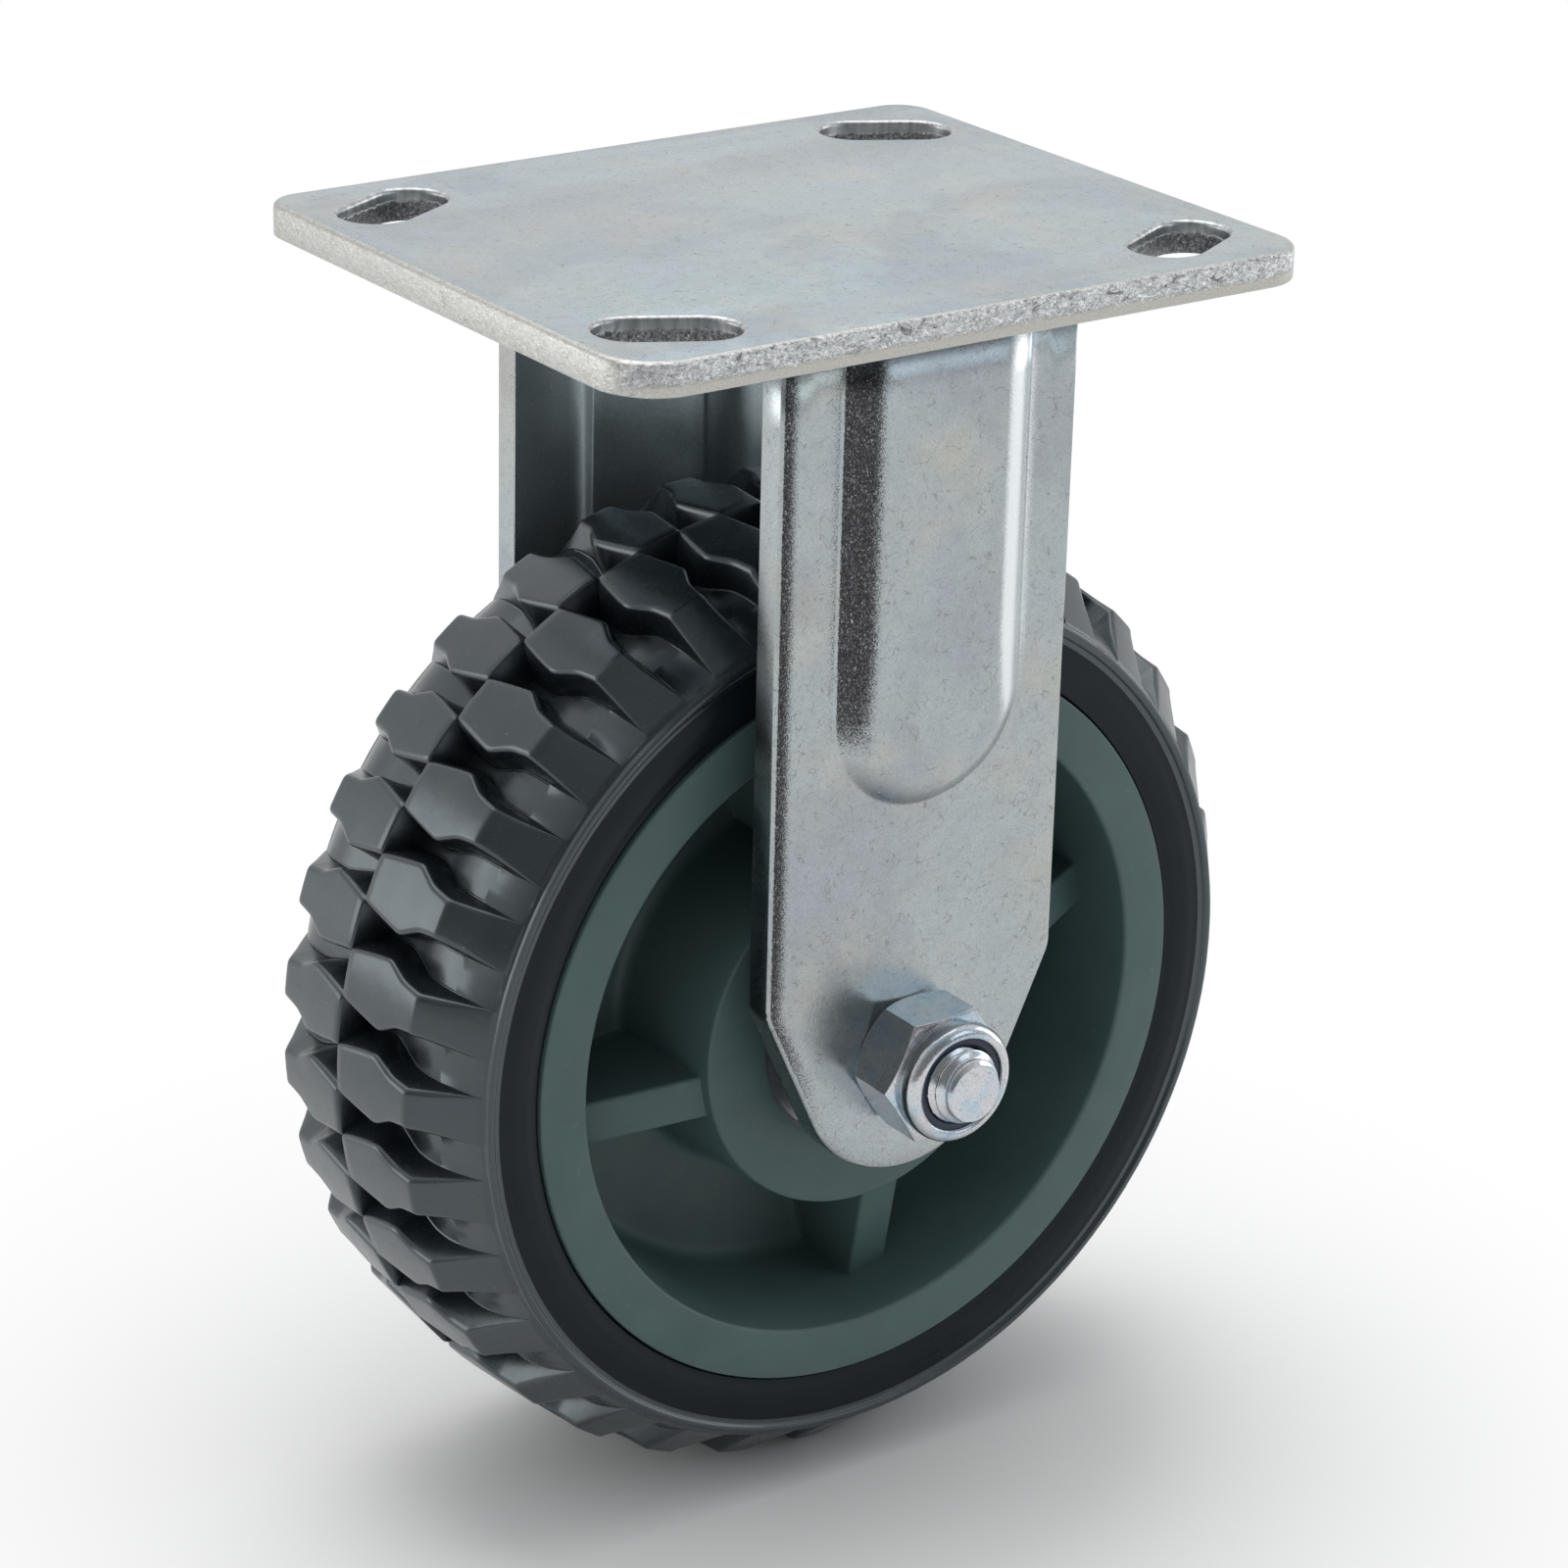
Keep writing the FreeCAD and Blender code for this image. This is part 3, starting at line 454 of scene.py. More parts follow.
def sheared_material():
    """The plate's edge: torn and sparkling along its sides, smoother below and across its ends."""
    material, tree = new_material("zinc_sheared")
    tears = noise(tree, (0.75, 0.75, 1.3), detail=5.0, roughness=0.7, distortion=1.6)
    crinkle = strokes(tree, (0.8, 0.8, 1.1), 0.05, 0.4, distortion=1.5)
    nicks = ramp(tree, noise(tree, (0.28, 0.28, 0.5), distortion=1.0, shift=9.0), [
        (0.60, 0.0), (0.68, 1.0)])
    torn = ramp(tree, tears, [
        (0.3, (0.30, 0.31, 0.32)), (0.5, (0.56, 0.575, 0.585)), (0.68, (0.84, 0.85, 0.86))])
    torn = marked(tree, torn, crinkle, 0.75, (0.13, 0.13, 0.135))
    torn = marked(tree, torn, nicks, 0.75, (0.08, 0.078, 0.075))
    smooth = ramp(tree, noise(tree, 3.0, detail=3.0, shift=5.0), [
        (0.35, (0.42, 0.42, 0.39)), (0.65, (0.52, 0.51, 0.47))])
    across = math_node(tree, "ABSOLUTE", object_part(tree, "Normal", 1))
    height = object_height(tree)
    ragged = math_node(tree, "ADD", height, product(tree, tears, 1.6))
    low = ramp(tree, rising(tree, ragged, -2.4, 0.5), [(0.35, 1.0), (0.65, 0.0)])
    on_plate = ramp(tree, rising(tree, height, -5.2, 1.0), [(0.4, 0.0), (0.6, 1.0)])
    band = product(tree, product(tree, low, on_plate), across)
    band = math_node(tree, "MAXIMUM", band, ramp(tree, across, [(0.3, 0.75), (0.7, 0.0)]))
    rough = math_node(tree, "SUBTRACT", 1.0, product(tree, band, 0.85))
    bumps = [(product(tree, tears, rough), 0.55, 0.5)]
    return dress(material, blend_colour(tree, band, torn, smooth), 0.3, bumps, metallic=1.0)


def weld_material():
    """A plated weld bead with fine ripples, in a dark grey that is partly its own dull finish and partly
    painted shade under the plate.
    """
    material, tree = new_material("zinc_weld")
    ripples = noise(tree, (0.9, 0.5, 0.5), detail=3.0, distortion=0.6)
    base = ramp(tree, ripples, [(0.35, (0.14, 0.14, 0.14)), (0.65, (0.30, 0.31, 0.31))])
    return dress(material, base, 0.42, [(ripples, 0.6, 0.3)], metallic=0.8)


def punched_material():
    """A punched slot's wall: a burnished upper band over a dark, rough broken one."""
    material, tree = new_material("zinc_punched")
    broken = noise(tree, 2.2, detail=5.0, roughness=0.75, distortion=0.6)
    rough = ramp(tree, broken, [
        (0.40, (0.08, 0.085, 0.09)), (0.55, (0.26, 0.27, 0.275)), (0.68, (0.62, 0.63, 0.64))])
    grain = noise(tree, (0.9, 0.9, 0.2), detail=3.0, shift=4.0)
    smooth = ramp(tree, grain, [(0.35, (0.34, 0.36, 0.37)), (0.65, (0.56, 0.58, 0.59))])
    ragged = math_node(tree, "ADD", object_height(tree), product(tree, grain, 1.2))
    lower = ramp(tree, rising(tree, ragged, -1.3, 0.5), [(0.4, 1.0), (0.6, 0.0)])
    bumps = [(product(tree, broken, lower), 0.8, 0.4)]
    return dress(material, blend_colour(tree, lower, smooth, rough), 0.34, bumps, metallic=1.0)


def fastener_material():
    """Bright bluish zinc on the bolt and the nut, with fine sparkle and darker stains."""
    material, tree = new_material("zinc_fastener")
    base = ramp(tree, noise(tree, 0.22, detail=3.0), [
        (0.35, (0.50, 0.60, 0.68)), (0.5, (0.62, 0.66, 0.70)), (0.68, (0.66, 0.64, 0.66))])
    sparkle = noise(tree, 4.0, detail=3.0, roughness=0.8, shift=11.0)
    base = tinted(tree, base, ramp(tree, sparkle, [(0.35, 0.72), (0.6, 1.0)]))
    stains = strokes(tree, 0.5, 0.03, 0.5, shift=31.0)
    base = marked(tree, base, stains, 0.4, (0.20, 0.17, 0.21))
    bumps = [(noise(tree, 1.2), 0.2, 0.1), (sparkle, 0.25, 0.03)]
    return dress(material, base, 0.17, bumps, metallic=1.0)


def rubber_material():
    """Dark grey moulded tread with a soft sheen, a few scuffs and specks of dust."""
    material, tree = new_material("tyre_rubber")
    base = ramp(tree, noise(tree, 0.08, detail=3.0), [
        (0.3, (0.008, 0.011, 0.013)), (0.7, (0.014, 0.018, 0.021))])
    scuffs = strokes(tree, 0.25, 0.006, 0.58, shift=3.0)
    base = marked(tree, base, scuffs, 0.25, (0.16, 0.17, 0.18))
    base = dusted(tree, base, (0.4, 0.41, 0.42), 0.6, 0.045)
    wear = ramp(tree, noise(tree, 0.2), [(0.3, 0.24), (0.7, 0.30)])
    bumps = [
        (noise(tree, 2.2, detail=3.0), 0.05, 0.1),
        (noise(tree, 0.25, detail=2.0, shift=2.0), 0.2, 0.2)]
    return dress(material, base, wear, bumps, specular=1.0, tint=RUBBER_TINT)


def shaded_sidewall_material():
    """Smooth black side of the tyre, a darker copy of the rubber with weak specular: painted shade for the
    side that faces the darker room in front.
    """
    material, tree = new_material("tyre_sidewall_shaded")
    clouds = noise(tree, 0.1, detail=3.0)
    base = ramp(tree, clouds, [(0.3, (0.005, 0.008, 0.010)), (0.7, (0.008, 0.012, 0.015))])
    base = dusted(tree, base, (0.3, 0.31, 0.32), 0.6, 0.04)
    wear = ramp(tree, clouds, [(0.3, 0.25), (0.7, 0.34)])
    bumps = [(noise(tree, 1.5, detail=3.0), 0.05, 0.1)]
    return dress(material, base, wear, bumps, specular=0.2, tint=RUBBER_TINT)


def core_material():
    """Matt grey-green moulded core with tiny specks."""
    material, tree = new_material("core_green")
    base = ramp(tree, noise(tree, 0.05, detail=3.0), [
        (0.3, (0.067, 0.114, 0.113)), (0.7, (0.090, 0.145, 0.142))])
    rubs = strokes(tree, 0.2, 0.008, 0.56, shift=5.0)
    base = marked(tree, base, rubs, 0.16, (0.3, 0.36, 0.35))
    base = dusted(tree, base, (0.42, 0.46, 0.45), 0.55, 0.05)
    return dress(material, base, 0.46, [(noise(tree, 1.8), 0.10, 0.12)], specular=0.35)


def nylon_material():
    material, tree = new_material("nylon_blue")
    clouds = noise(tree, 0.8)
    base = ramp(tree, clouds, [(0.3, (0.004, 0.012, 0.035)), (0.7, (0.008, 0.022, 0.055))])
    return dress(material, base, 0.35, [(clouds, 0.1, 0.1)])


def turned_steel_material():
    """Plain steel of the hidden turned pieces, with faint tool marks round the axle."""
    material, tree = new_material("turned_steel")
    rings = noise(tree, (0.15, 3.0, 0.15), detail=2.0)
    base = ramp(tree, rings, [(0.3, (0.42, 0.43, 0.45)), (0.7, (0.56, 0.57, 0.58))])
    return dress(material, base, 0.3, [(rings, 0.1, 0.1)], metallic=1.0)


RUBBER_TINT = (0.80, 0.94, 1.0)
zinc = zinc_material("zinc_sheet", 1.0, (0.97, 0.97, 0.97))
smooth_zinc = zinc_material("zinc_smooth", 0.5, (1.05, 1.10, 1.13))
shaded_inner_zinc = shaded_inner_zinc_material()
sheared = sheared_material()
punched = punched_material()
weld = weld_material()
fastener = fastener_material()
rubber = rubber_material()
shaded_sidewall = shaded_sidewall_material()
core_green = core_material()
nylon = nylon_material()
turned_steel = turned_steel_material()


# Top plate

def slot_loop(side_x, side_y, steps=14):
    """A slot outline, clockwise, so that the material is on its left."""
    inner = np.array((side_x * SLOT_INNER[0], side_y * SLOT_INNER[1]))
    outer = np.array((side_x * SLOT_OUTER[0], side_y * SLOT_OUTER[1]))
    angle = math.atan2(outer[1] - inner[1], outer[0] - inner[0])
    loop = []
    for centre, start in ((outer, angle + math.pi / 2), (inner, angle - math.pi / 2)):
        for step in range(steps + 1):
            turned = start - math.pi * step / steps
            loop.append(centre + SLOT_RADIUS * np.array((math.cos(turned), math.sin(turned))))
    return loop


def build_top_plate():
    """The plate as one skin, with its four slots."""
    half_x = PLATE_LENGTH / 2
    half_y = PLATE_WIDTH / 2
    corners = [(-half_x, -half_y), (half_x, -half_y), (half_x, half_y), (-half_x, half_y)]
    outer = rounded_path([(*corner, radius) for corner, radius in zip(corners, PLATE_CORNERS)], steps=12)
    loops = [outer] + [slot_loop(x, y) for x in (-1, 1) for y in (-1, 1)]
    points = []
    faces = []
    slots = []
    caps = ([], [])
    for number, loop in enumerate(loops):
        upper_round = PLATE_ROUND if number == 0 else SHEET_ROUND
        levels = edge_levels(0.0, -PLATE_THICKNESS, upper_round, BURR_ROUND)
        base = len(points)
        for inset, height in levels:
            ring = inset_loop(loop, inset)
            points.extend((x, y, height) for x, y in ring)
        side = grid_faces(len(levels), len(loop))
        faces.extend(tuple(base + index for index in face) for face in side)
        slots.extend([1 if number == 0 else 2] * len(side))
        caps[0].append(range(base, base + len(loop)))
        bottom = base + (len(levels) - 1) * len(loop)
        caps[1].append(range(bottom, bottom + len(loop)))
    for rings in caps:
        order = [index for ring in rings for index in ring]
        outline = [[Vector((*points[index][:2], 0)) for index in ring] for ring in rings]
        for triangle in tessellate_polygon(outline):
            faces.append(tuple(order[corner] for corner in triangle))
            slots.append(0)
    add_piece("plate_sheet", points, faces, "frame", [smooth_zinc, sheared, punched],
              ["top_plate"], face_slots=slots)


# Legs

def rib_contour(half, arc_steps=28, straight_steps=6):
    """One contour of the rib: down its left side, round its end and up its right side."""
    straight = (RIB_END_DROP - PLATE_THICKNESS) / straight_steps
    drops = [PLATE_THICKNESS + straight * step for step in range(straight_steps)]
    contour = [(-half, -drop) for drop in drops]
    for step in range(arc_steps + 1):
        angle = math.pi + math.pi * step / arc_steps
        across = half * math.cos(angle) * (RIB_RIGHT if math.cos(angle) > 0 else 1.0)
        contour.append((across, half * math.sin(angle) - RIB_END_DROP))
    return contour + [(half * RIB_RIGHT, -drop) for drop in reversed(drops)]


def curve_point(start, corner, end, share):
    """A point on the curve that leaves its start towards the corner and ends from it."""
    return (1 - share) ** 2 * start + 2 * share * (1 - share) * corner + share ** 2 * end


def rib_profile(outside, steps=12):
    """Half width, height and painted light share of each contour, from the flat sheet to the crown.

    The corner where the wall starts is tight and the one where it ends is broad.
    """
    foot, shoulder, crown = RIB_OUTSIDE if outside else RIB_HOLLOW
    if outside:
        corners = ((foot, 0.0), (shoulder, RIB_HEIGHT), (crown, RIB_HEIGHT), (RIB_FLAT, 0.0))
    else:
        corners = ((crown, RIB_HEIGHT), (shoulder, 0.0), (foot, 0.0), (crown - CROWN_FLAT, RIB_HEIGHT))
    start, middle, end, beyond = (np.array(corner) for corner in corners)
    rise = (middle - start) / np.linalg.norm(middle - start)
    flat = (beyond - start) / np.linalg.norm(beyond - start)
    first = start + rise * FOOT_EASE
    eased = start + flat * FOOT_EASE
    path = [
        (*beyond, 0.0), (*eased, PAINTED_LIGHT_AT_FOOT if outside else 0.0),
        (*curve_point(eased, start, first, 0.5), 0.0)]
    for step in range(steps + 1):
        share = step / steps
        # Painted light, strongest at the wall's foot and gone at the crown
        painted_light = min(1.0, PAINTED_LIGHT_RISE * (1.0 - share)) if outside else 0.0
        path.append((*curve_point(first, middle, end, share), painted_light))
    if outside:
        return path + [(crown - CROWN_FLAT, RIB_HEIGHT, 0.0)]
    return [(RIB_FLAT, 0.0, 0.0)] + path[::-1]


def leg_outline(straight_steps=8, arc_steps=30):
    """The leg's edge from its top left corner, down round its end and up to the top right."""
    top = -PLATE_THICKNESS
    centre = np.array((0.0, -AXLE_DROP))
    reach = np.array((LEG_HALF_WIDTH, -LEG_TAPER_DROP)) - centre
    angle = math.atan2(reach[1], reach[0]) - math.acos(LEG_END_RADIUS / np.linalg.norm(reach))
    touch = centre + LEG_END_RADIUS * np.array((math.cos(angle), math.sin(angle)))
    left = rounded_path([
        (-LEG_HALF_WIDTH, top), (-LEG_HALF_WIDTH, -LEG_TAPER_DROP, LEG_CORNER),
        (-touch[0], touch[1])], steps=8, closed=False)
    straight = (LEG_TAPER_DROP + top) / straight_steps
    left[1:1] = [(-LEG_HALF_WIDTH, top - straight * step) for step in range(1, straight_steps - 1)]
    arc = []
    for step in range(1, arc_steps):
        turned = math.pi - angle + (math.pi + 2 * angle) * step / arc_steps
        arc.append((LEG_END_RADIUS * math.cos(turned), LEG_END_RADIUS * math.sin(turned) - AXLE_DROP))
    return left + arc + [(-x, z) for x, z in reversed(left)]


def inset_outline(outline, inset):
    """The leg's edge moved inwards, with its two ends still level with the plate."""
    moved = inset_loop(outline, inset)
    moved[0] = (outline[0][0] + inset, outline[0][1])
    moved[-1] = (outline[-1][0] - inset, outline[-1][1])
    return moved


def build_leg(name, side, node, hole_steps=32):
    """A pressed leg as one closed skin. Side is -1 for the nut side and 1 for the head side."""
    points = []
    faces = []
    slots = []
    painted_light = []

    def add_ring(loop, along, share=0.0):
        base = len(points)
        for x, z in loop:
            # Painted shade on the rib's left wall and a painted highlight on its right wall, fading out
            # round and past the rib's end
            fade = min(1.0, max(0.0, (z + RIB_END_DROP + PAINTED_LIGHT_PAST_END) / PAINTED_LIGHT_FADE))
            painted_light.append(share * fade * (1.0 if x < 0 else -1.0))
            points.append((x, side * along, z))
        return list(range(base, len(points)))

    def strip(first, second, slot):
        for i in range(len(first) - 1):
            faces.append((first[i], first[i + 1], second[i + 1], second[i]))
            slots.append(slot)

    outline = np.array(leg_outline())
    levels = edge_levels(LEG_FACE, LEG_GAP / 2, SHEET_ROUND, BURR_ROUND)
    edge_rings = [add_ring(inset_outline(outline, inset), along) for inset, along in levels]
    for upper, lower in zip(edge_rings, edge_rings[1:]):
        strip(upper, lower, 0)
    margin_ring = add_ring(inset_outline(outline, EDGE_BAND), LEG_FACE)
    strip(edge_rings[0], margin_ring, 0)
    # Painted shade along the leg's left edge, full down its straight side and weaker round its end; it
    # fades out across the edge band
    for index in edge_rings[0]:
        if points[index][0] < 0:
            share = (points[index][2] + ARRIS_SHADE_END_DROP) / ARRIS_SHADE_FADE
            painted_light[index] = min(1.0, max(ARRIS_SHADE_LEAST, share))
    turns = [-2 * math.pi * step / hole_steps for step in range(hole_steps)]
    hole = [(LEG_HOLE * math.cos(turn), LEG_HOLE * math.sin(turn) - AXLE_DROP) for turn in turns]
    hole_rings = []
    for slot, face, outer_ring in ((0, LEG_FACE, margin_ring), (1, LEG_GAP / 2, edge_rings[-1])):
        contours = [add_ring(rib_contour(half), face + height, share)
                    for half, height, share in rib_profile(outside=slot == 0)]
        for outer, inner in zip(contours, contours[1:]):
            strip(outer, inner, slot)
        hole_rings.append(add_ring(hole, face))
        around = outer_ring + contours[0][::-1]
        for loops in ([around, hole_rings[-1]], [contours[-1]]):
            order = [index for loop in loops for index in loop]
            flat = [[Vector((points[index][0], points[index][2], 0)) for index in loop] for loop in loops]
            for triangle in tessellate_polygon(flat):
                faces.append(tuple(order[corner] for corner in triangle))
                slots.append(slot)
    strip(*(ring + ring[:1] for ring in hole_rings), 0)
    piece = add_piece(name, points, faces, "frame", [zinc, shaded_inner_zinc], [node],
                      smooth=30.0, face_slots=slots, painted_light_shares=painted_light)
    close_open_top(piece)


def close_open_top(piece):
    """Closes the sheet's end where it meets the plate."""
    work = bmesh.new()
    work.from_mesh(piece.data)
    rim = [edge for edge in work.edges if len(edge.link_faces) == 1]
    bmesh.ops.holes_fill(work, edges=rim, sides=0)
    bmesh.ops.recalc_face_normals(work, faces=work.faces)
    work.to_mesh(piece.data)
    work.free()


# Nut and bolt

def hexagon_mesh(near, far, slopes, inner_radius, columns=144):
    """A hexagon between two distances along the axle. The slopes turn its corners down at each end."""
    flat = HEX_FLATS / 2
    turned = flat * HEX_FACE
    sector = math.radians(60)
    angles = [2 * math.pi * column / columns for column in range(columns)]
    reach = []
    for angle in angles:
        offset = (angle + sector / 2) % sector - sector / 2
        reach.append(flat / math.cos(sector / 2 - abs(offset)))
    way = 1 if far > near else -1
    face_radii = (inner_radius, 0.93 * turned, turned)
    rings = [[(near, radius)] * columns for radius in face_radii]
    rings.append([(near + way * slopes[0] * (edge - turned), edge) for edge in reach])
    rings.append([(far - way * slopes[1] * (edge - turned), edge) for edge in reach])
    rings.extend([(far, radius)] * columns for radius in reversed(face_radii))
    points = []
    for ring in rings:
        for (along, radius), angle in zip(ring, angles):
            points.append(on_axle(along, radius, angle + math.radians(HEX_TURN)))
    return points, grid_faces(len(rings), columns), columns


def build_lock_nut():
    """The nut's hexagon and its rolled collar as one skin, and the nylon ring in the collar."""
    start = -LEG_FACE
    hex_end = start - NUT_HEX
    end = hex_end - NUT_COLLAR
    collar = rounded_path([
        (hex_end, NUT_NECK - 0.1),
        (hex_end - 0.02, NUT_NECK),
        (hex_end - 0.5, NUT_NECK, 0.3),
        (hex_end - 1.0, NUT_COLLAR_RADIUS, 0.3),
        (end, NUT_COLLAR_RADIUS, 1.7),
        (end + 0.02, NUT_MOUTH + 0.5, 0.6),
        (end + 0.8, NUT_MOUTH, 0.25),
        (end + 0.9, NUT_MOUTH + 0.8),
        (end + 3.0, NUT_MOUTH + 0.8),
        (end + 3.0, NUT_BORE),
        (start, NUT_BORE)], steps=5, closed=False)
    points, faces, columns = hexagon_mesh(start, hex_end, NUT_SLOPES, NUT_BORE)
    base = len(points) - columns
    del points[base:]
    for along, radius in collar:
        for column in range(columns):
            points.append(on_axle(along, radius, 2 * math.pi * column / columns + math.radians(HEX_TURN)))
    faces += [tuple(base + index for index in face) for face in grid_faces(len(collar), columns)]
    piece = add_piece("nut_body", points, faces, "frame", [fastener], ["lock_nut"],
                      smooth=28.0)
    soften_edges(piece, width=0.16)
    near = end + INSERT_RECESS
    far = near + INSERT_LENGTH
    ring = rounded_path([
        (near, BOLT_RADIUS + 0.1, 0.3), (far, BOLT_RADIUS + 0.1),
        (far, NUT_MOUTH + 0.3), (near, NUT_MOUTH + 0.3, 0.2)], steps=3)
    lathe("nylon_ring", ring, 96, "frame", [nylon], ["lock_nut_insert"])


def soften_edges(piece, width):
    """A narrow round on every sharp edge."""
    bevel = piece.modifiers.new("round", "BEVEL")
    bevel.width = width * MM
    bevel.segments = 2
    bevel.limit_method = "ANGLE"
    bevel.angle_limit = math.radians(28.0)
    bevel.harden_normals = False


def thread_ring(along, start, columns):
    """One ring of the thread, which fades in at its start and loses its crests at the point."""
    to_end = along + BOLT_END
    crest = min(BOLT_RADIUS, BOLT_POINT + POINT_SLOPE * to_end)
    depth = THREAD_DEPTH * min(1.0, 0.3 + 0.2 * to_end) * min(1.0, (start - along) / THREAD_RUN_OUT)
    ring = []
    for column in range(columns):
        phase = (along / THREAD_PITCH + column / columns) % 1.0
        height = min(1.0, max(0.0, abs(2 * phase - 1) * THREAD_FLANK - THREAD_ROOT))
        ring.append((along, crest - depth * (1 - height)))
    return ring


def build_axle_bolt(columns=96, rows_per_pitch=12):
    """The bolt's head on the far leg and its shank, with the thread at the nut."""
    head_end = LEG_FACE + HEX_HEAD
    points, faces, _ = hexagon_mesh(LEG_FACE, head_end, HEAD_SLOPES, 0.5)
    piece = add_piece("bolt_head", points, faces, "frame", [fastener], smooth=28.0)
    soften_edges(piece, width=0.2)
    start = THREAD_LENGTH - BOLT_END
    inside_head = head_end - 1.0
    rings = [[(inside_head, 0.0)] * columns, [(inside_head, BOLT_RADIUS)] * columns,
             [(start, BOLT_RADIUS)] * columns]
    rows = int(THREAD_LENGTH / THREAD_PITCH * rows_per_pitch)
    for row in range(rows + 1):
        rings.append(thread_ring(start - THREAD_LENGTH * row / rows, start, columns))
    for share in (0.97, 0.5, 0.0):
        rings.append([(-BOLT_END, (BOLT_POINT - POINT_ROUND) * share)] * columns)
    points = []
    for ring in rings:
        for column, (along, radius) in enumerate(ring):
            points.append(on_axle(along, radius, 2 * math.pi * column / columns))
    add_piece("bolt_shank", points, grid_faces(len(rings), columns), "frame",
              [fastener], ["axle_bolt"], smooth=50.0)


# Wheel core

def core_profile():
    """Half of the core's section, as (radius, distance from the middle plane)."""
    corners = [
        (HUB_BORE, 0.0), (HUB_BORE, BEARING_BACK), (BEARING_RADIUS, BEARING_BACK),
        (BEARING_RADIUS, CORE_FACE - 1.0), (BEARING_RADIUS + 1.0, CORE_FACE, 0.3),
        (HUB_RADIUS, CORE_FACE, 0.55), (HUB_ROOT, WEB_FACE, 2.0),
        (RIM_ROOT, WEB_FACE, 2.4), (RIM_LIP, CORE_FACE, 0.7),
        (RIM_RADIUS, CORE_FACE, 0.35), (RIM_RADIUS, 0.0)]
    return rounded_path(corners, steps=5, closed=False)


def refine(path, longest):
    """Adds points to the runs of a path that are longer than asked."""
    fine = [path[0]]
    for start, end in zip(path, path[1:]):
        pieces = max(1, math.ceil(math.dist(start, end) / longest))
        for piece in range(1, pieces + 1):
            share = piece / pieces
            fine.append((start[0] + (end[0] - start[0]) * share, start[1] + (end[1] - start[1]) * share))
    return fine


# Half a spoke's section: distance across, distance down from its front or up from the web, and which
SPOKE_SIDE = [
    (0.0, 0.0, "front"), (1.7, 0.0, "front"), (2.9, 0.0, "front"), (3.2, 0.05, "front"),
    (3.39, 0.18, "front"), (3.49, 0.4, "front"), (3.53, 0.75, "front"), (3.87, 1.6, "web"),
    (3.97, 0.8, "web"), (4.25, 0.3, "web"), (4.75, 0.06, "web"), (5.45, 0.0, "web")]


def spoke_height(radius, offset, level):
    """Height of a spoke's skin at one radius, by its offset from the web or from its sloping front."""
    if level == "web":
        return WEB_FACE + offset
    share = min(1.0, max(0.0, (radius - HUB_RADIUS) / (RIM_LIP - HUB_RADIUS)))
    return SPOKE_HUB + (SPOKE_RIM - SPOKE_HUB) * share - offset


def core_row(radius, along, pocket_steps=22):
    """Angle and height of each point of one turn of the core, over the spokes and between them."""
    on_spoke = HUB_RADIUS - SPOKE_INTO_HUB < radius < RIM_LIP + SPOKE_INTO_RIM
    on_spoke = on_spoke and along > WEB_FACE - 0.01
    side = []
    for across, offset, level in SPOKE_SIDE:
        height = max(along, spoke_height(radius, offset, level)) if on_spoke else along
        side.append((math.asin(across / radius), height))
    spoke_edge = side[-1][0]
    half_quarter = math.pi / 4
    for step in range(1, pocket_steps):
        side.append((spoke_edge + (half_quarter - spoke_edge) * step / pocket_steps, along))
    row = []
    for quarter in range(4):
        middle = math.radians(SPOKE_TURN + 90 * quarter)
        row.extend((middle - angle, height) for angle, height in reversed(side[1:]))
        row.extend((middle + angle, height) for angle, height in side)
        row.append((middle + half_quarter, along))
    return row


def build_wheel_core():
    """The rim, web, hub and spokes as one skin."""
    section = refine(core_profile(), 2.5)
    rows = [(-1, *spot) for spot in section] + [(1, *spot) for spot in section[-2:0:-1]]
    points = []
    for sign, radius, along in rows:
        points.extend(on_axle(sign * height, radius, angle) for angle, height in core_row(radius, along))
    faces = grid_faces(len(rows), len(points) // len(rows), wrap_rows=True)
    add_piece("core_moulding", points, faces, "wheel", [core_green],
              ["wheel_core"], smooth=34.0)


# Tyre. Its curves run from the tread's middle to its side, and past both so that they can be eased.

SURFACE = [(-5.0, TYRE_RADIUS), (0.0, TYRE_RADIUS), (17.5, 75.1), (25.5, 67.8), (30.0, 63.7)]
FLOOR = [
    (-5.0, 69.6), (0.0, 69.6), (7.8, 69.9), (13.5, 70.6), (17.5, 70.6), (21.5, 69.7), (25.5, 67.8),
    (30.0, 63.7)]
GAP_HALF = [
    (-5.0, 3.55), (0.0, 3.55), (9.5, 1.7), (13.4, 3.75), (17.5, 4.35), (25.5, 2.9), (30.0, 2.9)]
FOOT_HALF = [
    (-5.0, 1.3), (0.0, 1.3), (6.4, 0.6), (9.7, 1.6), (13.4, 2.75), (17.5, 2.85), (25.5, 2.9),
    (30.0, 2.9)]
TREAD_CURVES = ((SURFACE, 0.4), (FLOOR, 1.6), (GAP_HALF, 0.8), (FOOT_HALF, 1.0))
TREAD_ROWS = [
    0.0, 0.12, 0.4, 1.6, 3.4, 5.2, 6.5, 7.5, 8.2, 8.8, 9.2, 9.5, 9.8, 10.2, 10.8, 11.5, 12.2, 12.9,
    13.4, 13.9, 14.6, 15.6, 16.6, 17.15, 17.35, 17.5, 17.65, 17.85, 18.4, 19.0, 19.7, 20.4, 21.1,
    21.8, 22.5, 23.2, 23.9, 24.6, 25.1, 25.5]
END_ROUND = {0.0: 0.38, 0.12: 0.14}
TOP_ROUND = 1.0
BEAD_HEIGHT = 0.13
BEAD_POINTS = ((0.07, 1.0), (0.2, 1.0), (0.34, 0.0))
